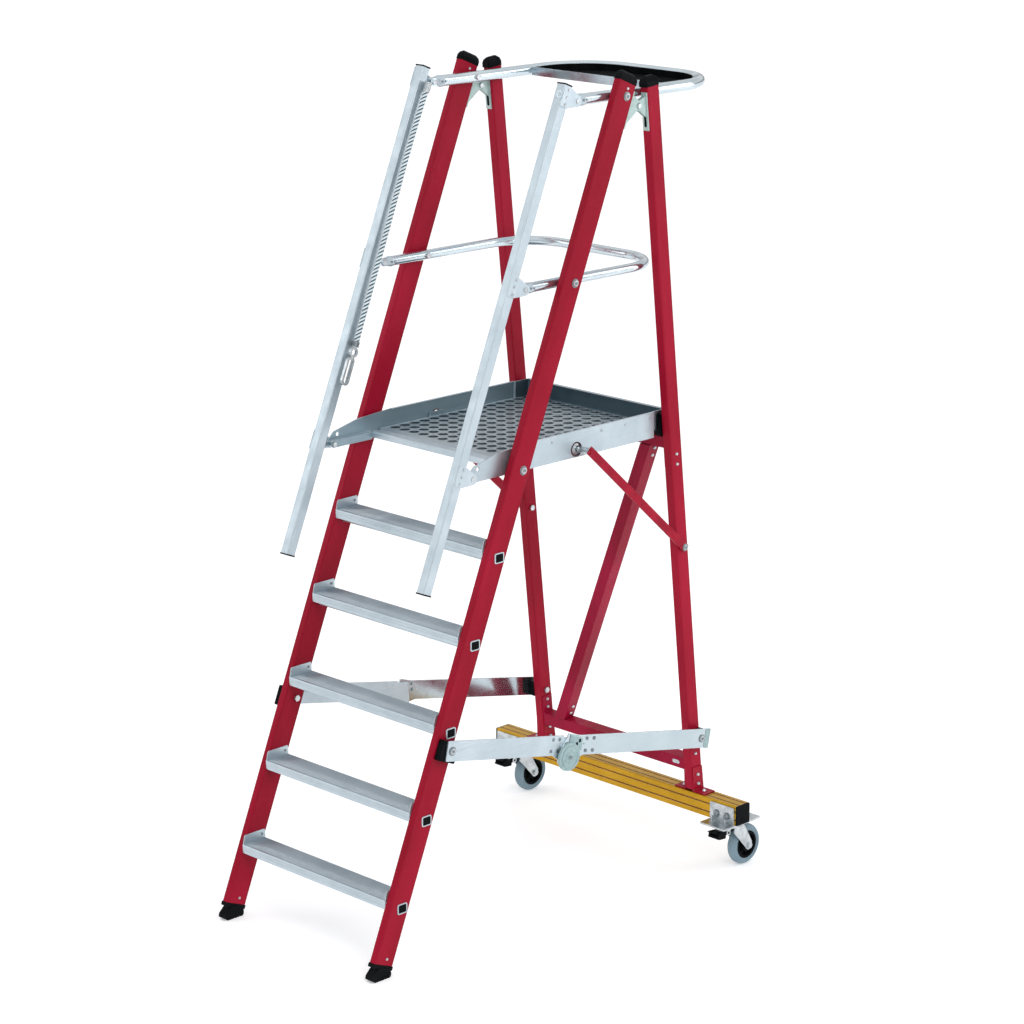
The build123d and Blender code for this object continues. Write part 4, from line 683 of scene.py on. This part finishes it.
# -------------------- platform
DECK_LOW, DECK_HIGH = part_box("platform_deck")
HOLE_PITCH_X, HOLE_PITCH_Y, HOLE_FIRST_Y, HOLE_RADIUS = 0.0397, 0.039, -0.091, 0.0150
HOLE_COLUMNS, HOLE_ROWS, HOLE_SIDES = 14, 15, 24
DECK_NARROW, DECK_NARROW_FROM = 0.2807, 0.421            # half width beside the toe board
NOTCH_Y, NOTCH_HALF, NOTCH_X = STUB.y - 0.012, 0.031, 0.2812
LAYER_HALF, LAYER_FRONT_Y, LAYER_BACK_Y, LAYER_THICK = 0.2780, -0.1105, 0.4740, 0.0008
STRIP_IN, STRIP_OUT, STRIP_THICK, STRIP_RUNS = 0.2742, 0.2800, 0.0016, ((-0.1300, 0.0650), (0.1295, 0.4200))
PANEL_IN, PANEL_OUT, PANEL_SCREW_Z, PANEL_SCREW_YS = 0.2848, 0.2881, 1.3925, (-0.10, 0.0, 0.20, 0.30, 0.40)
TOE_BACK, TOE_SIDE, TOE_SCREW_XS = 0.4822, 0.2811, (-0.24, -0.08, 0.08, 0.24)


def deck_cell(shape, column, row, level, profile):
    """Rectangle of deck at one level, with a hole that follows (radius, rise) pairs."""
    middle_x = (column - (HOLE_COLUMNS - 1) / 2) * HOLE_PITCH_X
    middle = Vector((middle_x, HOLE_FIRST_Y + row * HOLE_PITCH_Y, level))
    border = []
    for angle in angles(HOLE_SIDES):
        reach_x = HOLE_PITCH_X / 2 / max(abs(cos(angle)), 1e-6)
        reach_y = HOLE_PITCH_Y / 2 / max(abs(sin(angle)), 1e-6)
        border.append(middle + polar(min(reach_x, reach_y), angle))
    rings = [[middle + polar(radius, angle, rise) for angle in angles(HOLE_SIDES)]
             for radius, rise in profile]
    shape.skin([border, *rings], ends=False)


def punched_deck():
    """Deck plate with rows of round holes, each with a soft raised rim, on a plain margin."""
    shape = Shape()
    lip = ((HOLE_RADIUS + 0.0030, 0), (HOLE_RADIUS + 0.0022, 0.0006), (HOLE_RADIUS + 0.0010, 0.0008),
           (HOLE_RADIUS, 0.0002), (HOLE_RADIUS, DECK_LOW.z - DECK_HIGH.z))
    for column in range(HOLE_COLUMNS):
        for row in range(HOLE_ROWS):
            deck_cell(shape, column, row, DECK_HIGH.z, lip)
            deck_cell(shape, column, row, DECK_LOW.z, ((HOLE_RADIUS, 0),))
    grid_half = HOLE_COLUMNS / 2 * HOLE_PITCH_X
    grid_front = HOLE_FIRST_Y - HOLE_PITCH_Y / 2
    grid_back = grid_front + HOLE_ROWS * HOLE_PITCH_Y
    shape.block(-DECK_HIGH.x, DECK_HIGH.x, DECK_LOW.y, grid_front, DECK_LOW.z, DECK_HIGH.z)
    shape.block(-DECK_NARROW, DECK_NARROW, grid_back, DECK_HIGH.y, DECK_LOW.z, DECK_HIGH.z)
    notch_front, notch_back = NOTCH_Y - NOTCH_HALF, NOTCH_Y + NOTCH_HALF
    margins = ((DECK_HIGH.x, grid_front, notch_front), (NOTCH_X, notch_front, notch_back),
               (DECK_HIGH.x, notch_back, DECK_NARROW_FROM), (DECK_NARROW, DECK_NARROW_FROM, grid_back))
    for side in (-1, 1):
        for outer, start, end in margins:
            shape.block(side * grid_half, side * outer, start, end, DECK_LOW.z, DECK_HIGH.z)
    shape.publish("punched_deck", "platform", "deck_aluminium", "deck_aluminium", ["platform_deck"])


def deck_shade_sheet():
    """Dark sheet under the holes: painted shade seen through them."""
    layer, low = Shape(), DECK_LOW.z + 0.0006
    layer.block(-LAYER_HALF, LAYER_HALF, LAYER_FRONT_Y, LAYER_BACK_Y, low, low + LAYER_THICK)
    layer.publish("deck_shade_sheet", "platform", "black_plastic", "deck_shade")


def deck_edge_strips():
    """Raised strips beside the holes and straps over the panels' rear corners."""
    strips = Shape()
    for side in (-1, 1):
        for start, end in STRIP_RUNS:
            top = DECK_HIGH.z + STRIP_THICK
            strips.block(side * STRIP_IN, side * STRIP_OUT, start, end, DECK_HIGH.z, top)
        strap = placed_at((side * 0.2814, 0.4216, DECK_HIGH.z + 0.001), Z_AXIS, Y_AXIS)
        strips.slab(strap, 0.0062, 0.0100, 0.0490, 0.0008)
    strips.publish("deck_edge_strips", "platform", "aluminium", "post_aluminium")


def stub_plate_covers():
    """Thin cover plates inside the panels, over the strut stubs."""
    covers = Shape()
    for side in (-1, 1):
        cover = placed_at((side * 0.2818, NOTCH_Y, STUB.z + 0.001), -side * X_AXIS)
        covers.slab(cover, 0.062, 0.036, 0.0010, 0.006)
    covers.publish("stub_plate_covers", "platform", "aluminium", "panel_aluminium")


def stub_dark_rings():
    """Dark red-brown rings round the strut stubs, on both faces of the side panels."""
    dark_rings = Shape()
    for side in (-1, 1):
        for face, outward in ((PANEL_OUT + 0.0001, side), (PANEL_IN, -side)):
            place = placed_at((side * face, NOTCH_Y, STUB.z + 0.002), outward * X_AXIS)
            dark_rings.ring(place, 0.0212, 0.0182, 0, 0.0008, 40)
    dark_rings.publish("stub_dark_rings", "platform", "black_plastic", "stub_ring_brown")


def platform_screws():
    """Screws of the side panels and the toe board."""
    screws = Shape()
    for side in (-1, 1):
        for y in PANEL_SCREW_YS:
            screws.turned(placed_at((side * PANEL_OUT, y, PANEL_SCREW_Z), side * X_AXIS), PANEL_SCREW, 20)
        for z in (1.367, 1.386):
            screws.turned(placed_at((side * TOE_SIDE, 0.4275, z), side * X_AXIS), END_SCREW, 18)
    for x in TOE_SCREW_XS:
        screws.turned(placed_at((x, TOE_BACK, 1.343), Y_AXIS), PANEL_SCREW, 20)
    screws.publish("platform_screws", "platform", "rivet_alu", "zinc_steel")


punched_deck()
deck_shade_sheet()
deck_edge_strips()
stub_plate_covers()
stub_dark_rings()
platform_screws()

# -------------------- treads
TREAD_RIBS, TREAD_RIB_PITCH, TREAD_TOP, TREAD_RIB_REACH = 16, 0.0049, 0.028, 0.2985


def tread_ribs(number):
    """Serrated strip on a tread's top; the darker top colour between its fine ridges is painted shade."""
    shape = Shape()
    step = on_front(number * STEP_PITCH)
    top = step.z + TREAD_TOP
    for rib in range(TREAD_RIBS):
        y = step.y - 0.0355 + TREAD_RIB_PITCH * rib
        shape.rib(TREAD_RIB_REACH, y, 0.0010, 0.0005, top - 0.0003, top + 0.0008)
    shape.publish(f"tread_ribs_{number + 1}", "front_frame", "aluminium", "tread_ribs")


def flange_rivets():
    """Dark heads on the rivets that hold the tread flanges to the stiles."""
    heads = Shape()
    for side in (-1, 1):
        for number in range(STEP_COUNT):
            rivet = on_front(number * STEP_PITCH) + Vector((side * (STILE_IN - 0.0038), 0.029, 0.042))
            heads.turned(placed_at(rivet, -side * X_AXIS), FLANGE_RIVET, 20)
    heads.publish("tread_flange_rivets", "front_frame", "rivet_alu", "dark_rivet")


for number in range(STEP_COUNT):
    tread_ribs(number)
flange_rivets()

# -------------------- tool tray
TRAY_LOW, TRAY_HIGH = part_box("tool_tray")
TRAY_CORNER, TRAY_FLOOR_Z, LINING_RIM_Z = 0.162, TRAY_LOW.z + 0.0022, TRAY_HIGH.z - 0.0012
MAT_RIBS, MAT_RIB_PITCH, MAT_FIRST_Y, MAT_THICK, MAT_RIB_REACH = 34, 0.0062, 0.482, 0.0008, 0.2595


def tray_outline(inset, steps=14):
    """Inside of the tray: straight front, rounded back corners, as points at height 0."""
    half, front, back = TRAY_HIGH.x - inset, TRAY_LOW.y + inset, TRAY_HIGH.y - inset
    corner = TRAY_CORNER - inset
    points = [Vector((half, front, 0))]
    for start, sign in ((0, 1), (90, -1)):
        middle = Vector((sign * (half - corner), back - corner, 0))
        points += [middle + polar(corner, radians(start + 90 * step / steps)) for step in range(steps + 1)]
    points.append(Vector((-half, front, 0)))
    return points


def tray_lining():
    """Black lining of the tray: a skirt round the back and a ribbed mat."""
    shape = Shape()
    outer, inner = tray_outline(0.0022), tray_outline(0.0032)
    low, high = TRAY_FLOOR_Z * Z_AXIS, LINING_RIM_Z * Z_AXIS
    shape.skin([[a + low, b + low, b + high, a + high] for a, b in zip(outer, inner)])
    shape.skin([[point + z * Z_AXIS for point in inner] for z in (TRAY_FLOOR_Z, TRAY_FLOOR_Z + MAT_THICK)])
    for rib in range(MAT_RIBS):
        y = MAT_FIRST_Y + rib * MAT_RIB_PITCH
        reach = min(max(abs(point.x) for point in inner if point.y >= y), MAT_RIB_REACH)
        shape.rib(reach - 0.001, y, 0.0011, 0.0006, TRAY_FLOOR_Z + MAT_THICK, TRAY_FLOOR_Z + 0.0020)
    shape.publish("tray_lining", "top_rail", "black_plastic", "black_plastic")


tray_lining()


# -------------------- pivots and rails
def bolt_dress(shape, place, head_r, head_h):
    """Washer under a bolt's head and a raised hexagon on its crown."""
    shape.ring(place, head_r + 0.0028, head_r - 0.0020, -0.0001, 0.0011)
    shape.turned(place @ Matrix.Translation((0, 0, head_h - 0.0004)), HEX_CROWN, 6)


def pivot_dress():
    """Washers and hexagon crowns on the pivot bolts, each on the body that carries its bolt."""
    front, rear = Shape(), Shape()
    for side in (-1, 1):
        for pivot, head_r in (("platform", 0.0105), ("mid", 0.0100), ("top", 0.0100)):
            bolt_dress(front, side_place(side, STILE_OUT + 0.0002, on_front(PIVOTS[pivot])), head_r, 0.0050)
        bolt_dress(front, side_place(side, SPREAD_INNER + 0.0003, SPREAD_FRONT), 0.0100, 0.0040)
        bolt_dress(rear, side_place(side, 0.3364, STRUT), 0.0085, 0.0038)
        bolt_dress(rear, side_place(side, SPREAD_OUTER + 0.0003, SPREAD_REAR), 0.0095, 0.0040)
    front.publish("front_bolt_dress", "front_frame", "zinc_steel", "dark_rivet")
    rear.publish("rear_bolt_dress", "rear_frame", "zinc_steel", "dark_rivet")


def tube_socket(shape, place, tube):
    """Pressed socket that narrows from a rail's tube to its flat tongue."""
    mouth = tube + 0.0012
    sections = ((0, 0.0200, tube - 0.0060), (0.008, 0.0215, tube - 0.0040), (0.016, mouth, mouth),
                (0.028, mouth, mouth))
    rings = []
    for level, width, height in sections:
        outline = rounded_outline(width, height, min(width, height) * (0.2 + 0.28 * level / 0.028))
        rings.append([place @ (point + level * Z_AXIS) for point in outline])
    shape.skin(rings)


def rail_ends(name, pivot, tube):
    """Sockets at both ends of a rail, with two rivets through each."""
    sockets, rivets = Shape(), Shape()
    tip = on_front(PIVOTS[pivot]) - LINK * Y_AXIS
    for side in (-1, 1):
        tube_socket(sockets, placed_at((side * POST_X, tip.y + 0.0115, tip.z), Y_AXIS), tube)
        for y in (0.027, 0.038):
            for out in (-1, 1):
                spot = (side * POST_X + out * (tube / 2 + 0.0004), tip.y + y, tip.z)
                rivets.turned(placed_at(spot, out * X_AXIS), TUBE_RIVET, 18)
    sockets.publish(f"{name}_sockets", name, "aluminium", "post_aluminium")
    rivets.publish(f"{name}_rivets", name, "rivet_alu", "dark_rivet")


def hinge_gap_shade():
    """Dark plates on the rear hinge castings, in the gaps between their ears: painted shade."""
    shape = Shape()
    pin_along = (HINGE - REAR_BASE).dot(REAR_UP)
    for side in (-1, 1):
        middle = on_rear(pin_along - 0.048, -0.0276, side * 0.31275)
        shape.slab(placed_at(middle, -REAR_BACK, REAR_UP), 0.0085, 0.0400, 0.0007, 0.0030, 0.0002)
    shape.publish("hinge_gap_shade", "rear_frame", "black_plastic", "black_plastic")


pivot_dress()
rail_ends("mid_rail", "mid", 0.028)
rail_ends("top_rail", "top", 0.032)
hinge_gap_shade()

# -------------------- spreaders
SPREAD_ALONG = (SPREAD_REAR - SPREAD_FRONT).normalized()
SPREAD_ACROSS = Vector((0, -SPREAD_ALONG.z, SPREAD_ALONG.y))
JOINT_AT = SPREAD_FRONT + (SPREAD_JOINT - SPREAD_FRONT).dot(SPREAD_ALONG) * SPREAD_ALONG
DISC_FACE = SPREAD_OUTER + 0.0101
DISC_SPOKES = 6


def on_link(along, across):
    """Point on the spreader's line, from its middle joint towards the rear, and across the links."""
    return JOINT_AT + along * SPREAD_ALONG + across * SPREAD_ACROSS


def disc_grip(side, side_name):
    """Rims and spokes on the face of a locking disc."""
    grip = Shape()
    face = side_place(side, DISC_FACE, SPREAD_JOINT, SPREAD_ALONG)
    grip.ring(face, 0.0325, 0.0300, 0, 0.0012, 48)
    grip.ring(face, 0.0180, 0.0160, 0, 0.0010, 40)
    for angle in angles(DISC_SPOKES):
        spoke = face @ Matrix.Rotation(angle, 4, "Z") @ Matrix.Translation((0.0235, 0, 0))
        grip.slab(spoke, 0.0120, 0.0030, 0.0010, 0.0012, 0.0003)
    grip.publish(f"disc_grip_{side_name}", "spreader_rear", "disc_plastic", "disc_plastic")


def spreader_castings(side, side_name):
    """End cap of a rear link and the casting beside its locking disc."""
    caps = Shape()
    end = side_place(side, SPREAD_OUTER, SPREAD_REAR + 0.024 * SPREAD_ALONG, SPREAD_ALONG)
    caps.slab(end, BAR_HEIGHT + 0.002, 0.021, 0.0014, 0.003)
    plate = ((-0.002, 0.033), (0.046, 0.0225), (0.050, 0.018), (0.050, -0.014), (0.030, -0.022),
             (-0.004, -0.006))
    caps.skin([[on_link(*corner) + side * (SPREAD_OUTER + rise) * X_AXIS for corner in plate]
               for rise in (0.0002, 0.0022)])
    caps.publish(f"spreader_end_cap_{side_name}", "spreader_rear", "disc_plastic", "disc_plastic")


def spreader_slot_shade(side, side_name):
    """Dark plates on the casting beside the disc: painted shade in its slots."""
    slots = Shape()
    for along, across in ((0.0385, 0.014), (0.0270, 0.004)):
        place = side_place(side, SPREAD_OUTER + 0.0021, on_link(along, across), SPREAD_ACROSS)
        slots.slab(place, 0.0088, 0.0108, 0.0006, 0.0030, 0.0002)
    slots.publish(f"spreader_slot_shade_{side_name}", "spreader_rear", "black_plastic", "black_plastic")


def link_rivets(side, side_name):
    """Rivets each side of the middle joint, and the bolt at the disc's middle."""
    front, rear = Shape(), Shape()
    for along, across in ((-0.066, 0.018), (-0.040, 0.018), (-0.070, -0.016), (-0.044, -0.016)):
        front.turned(side_place(side, SPREAD_INNER, on_link(along, across)), FLUSH_RIVET, 22)
    for along, across in ((0.070, 0.019), (0.100, 0.019), (0.070, -0.017), (0.100, -0.017)):
        rear.turned(side_place(side, SPREAD_OUTER, on_link(along, across)), LINK_RIVET, 22)
    rear.turned(side_place(side, DISC_FACE + 0.0022, SPREAD_JOINT), DISC_BOLT, 6)
    front.publish(f"front_link_rivets_{side_name}", "spreader_front", "zinc_steel", "dark_rivet")
    rear.publish(f"rear_link_rivets_{side_name}", "spreader_rear", "zinc_steel", "dark_rivet")


for side_name, side in SIDES:
    disc_grip(side, side_name)
    spreader_castings(side, side_name)
    spreader_slot_shade(side, side_name)
    link_rivets(side, side_name)

# -------------------- castors
HUB_SPOKES, RACE_BALLS, RACE_R, PEDAL_RIBS, PEDAL_RIB_PITCH = 8, 20, 0.0262, 7, 0.0042
PEDAL_SLOPE, PEDAL_FRONT_Y, PEDAL_FRONT_Z, PEDAL_LEAN = -0.105, CASTOR_Y - 0.073, 0.1317, radians(-6)


def wheel_details(side, side_name):
    """Tyre seams and spoked hub caps of one wheel."""
    seam, hub = Shape(), Shape()
    for out in (-1, 1):
        place = placed_at((side * CASTOR_X, CASTOR_Y + TRAIL, WHEEL_R), out * X_AXIS)
        seam.ring(place, 0.0520, 0.0500, 0.0150, 0.0164, 64)
        seam.ring(place, 0.0460, 0.0445, 0.0142, 0.0152, 64)
        hub.ring(place, 0.0200, 0.0150, 0.0154, 0.0164, 40)
        hub.ring(place, 0.0415, 0.0385, 0.0134, 0.0143, 64)
        for angle in angles(HUB_SPOKES):
            spoke = place @ Matrix.Rotation(angle, 4, "Z") @ Matrix.Translation((0.0285, 0, 0.0049))
            hub.slab(spoke, 0.0150, 0.0030, 0.0050, 0.0010, 0.0005)
    seam.publish(f"tyre_seams_{side_name}", f"wheel_{side_name}", "grey_tyre", "grey_tyre")
    hub.publish(f"hub_caps_{side_name}", f"wheel_{side_name}", "black_plastic", "black_plastic")


def swivel_race(side, side_name):
    """Ball race at the top of one fork."""
    race = Shape()
    upright = placed_at((side * CASTOR_X, CASTOR_Y, CROWN_Z), Z_AXIS, Y_AXIS)
    race.ring(upright, 0.0290, 0.0262, 0.0042, 0.0062, 48)
    race.ring(upright, 0.0272, 0.0255, 0.0078, 0.0094, 48)
    for angle in angles(RACE_BALLS):
        ball = Vector((side * CASTOR_X, CASTOR_Y, CROWN_Z)) + polar(RACE_R, angle, 0.0070)
        race.turned(placed_at(ball, Z_AXIS, Y_AXIS), ((0.0002, -0.0014), (0.0014, 0), (0.0002, 0.0014)), 8)
    race.publish(f"swivel_race_{side_name}", f"castor_{side_name}", "zinc_steel", "zinc_steel")


def pedal_ribs(side, side_name):
    """Ribs across the tread of one brake pedal."""
    pedal = Shape()
    first_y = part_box(f"brake_pedal_{side_name}")[0].y + 0.0045
    outward = Vector((0, -sin(PEDAL_LEAN), cos(PEDAL_LEAN)))
    for rib in range(PEDAL_RIBS):
        y = first_y + PEDAL_RIB_PITCH * rib
        foot = (side * CASTOR_X, y, PEDAL_FRONT_Z + (y - PEDAL_FRONT_Y) * PEDAL_SLOPE)
        pedal.slab(placed_at(foot, outward, Y_AXIS), 0.0350, 0.0018, 0.0018, 0.0008, 0.0004)
    pedal.publish(f"pedal_ribs_{side_name}", f"brake_{side_name}", "black_rubber", "black_rubber")


def clamp_dress(side, side_name):
    """Dark washers and crowns on the bolts of one castor clamp."""
    bolts = Shape()
    beam_low, beam_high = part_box("traverse")
    for wall_y, outward in ((beam_low.y - 0.0042, -1), (beam_high.y + 0.0042, 1)):
        for bolt_x in (-0.020, 0.020):
            bolt = (side * CASTOR_X + bolt_x, wall_y, beam_low.z + 0.0246)
            place = placed_at(bolt, outward * Y_AXIS)
            bolts.ring(place, 0.0120, 0.0072, 0, 0.0012)
            bolts.turned(place, CLAMP_CROWN, 24)
    bolts.publish(f"clamp_bolt_dress_{side_name}", "rear_frame", "zinc_steel", "dark_rivet")


for side_name, side in SIDES:
    wheel_details(side, side_name)
    swivel_race(side, side_name)
    pedal_ribs(side, side_name)
    clamp_dress(side, side_name)


# -------------------- stile caps, shoes and crossbar
# Each seam's lift above the cap's foot, and its width, depth and height
FRONT_CAP_SEAMS = ((0.0012, 0.0264, 0.0752, 0.0014), (0.0102, 0.0262, 0.0748, 0.0010))
REAR_CAP_SEAMS = ((0.0012, 0.0314, 0.0552, 0.0014), (0.0105, 0.0312, 0.0548, 0.0010))
SHOE_FIRST_RIB, SHOE_RIB_PITCH, SHOE_RIBS = -0.719, 0.010, 5


def cap_seams():
    """Two seams round each stile cap."""
    front, rear = Shape(), Shape()
    for side in (-1, 1):
        x, back = side * (STILE_IN + STILE_OUT) / 2, (STILE_FRONT + STILE_REAR) / 2
        for lift, width, depth, height in FRONT_CAP_SEAMS:
            place = placed_at(on_front(FRONT_CAP_AT + lift, back, x), FRONT_UP, FRONT_BACK)
            front.slab(place, width, depth, height, 0.005)
        for lift, width, depth, height in REAR_CAP_SEAMS:
            place = placed_at(on_rear(REAR_CAP_AT + lift, -0.002, side * REAR_STILE_X), REAR_UP, REAR_BACK)
            rear.slab(place, width, depth, height, 0.005)
    front.publish("front_cap_seams", "front_frame", "black_plastic", "black_plastic")
    rear.publish("rear_cap_seams", "rear_frame", "black_plastic", "black_plastic")


def shoe_ribs():
    """Ribs on both faces of the rubber shoes."""
    ribs = Shape()
    for side in (-1, 1):
        for out in (-1, 1):
            x = side * (STILE_IN + STILE_OUT) / 2 + out * 0.0143
            for rib in range(SHOE_RIBS):
                place = placed_at((x, SHOE_FIRST_RIB + SHOE_RIB_PITCH * rib, 0.0062), out * X_AXIS)
                ribs.slab(place, 0.0034, 0.0105, 0.0008, 0.0010, 0.0003)
    ribs.publish("shoe_ribs", "front_frame", "black_rubber", "black_rubber")


def crossbar_slot_plate():
    """Zinc slot plate on the lower crossbar's front face, near its right end."""
    plate = Shape()
    plate.slab(placed_at(on_rear(0.103, -0.0200, 0.262), -REAR_BACK, REAR_UP), 0.028, 0.0125, 0.0010, 0.006)
    plate.publish("crossbar_slot_plate", "rear_frame", "zinc_steel", "zinc_steel")


cap_seams()
shoe_ribs()
crossbar_slot_plate()

# -------------------- floor
FLOOR_HALF = 60
FLOOR_DARK, FLOOR_PALE = (0.88, 0.88, 0.89), (0.90, 0.90, 0.91)


def pale_floor():
    """Wide pale paper floor, lit a little from within like a studio sweep."""
    look = Look("floor_paper", Roughness=0.8, Specular_IOR_Level=0.2, Emission_Color=(1, 1, 1, 1),
                Emission_Strength=0.28)
    mesh = bpy.data.meshes.new("floor")
    corners = [(x * FLOOR_HALF, y * FLOOR_HALF, 0) for x, y in ((-1, -1), (1, -1), (1, 1), (-1, 1))]
    mesh.from_pydata(corners, [], [(0, 1, 2, 3)])
    look.done(look.mix(look.noise(3, 3), FLOOR_DARK, FLOOR_PALE))
    mesh.materials.append(look.material)
    floor = bpy.data.objects.new("floor", mesh)
    scene.collection.objects.link(floor)


pale_floor()
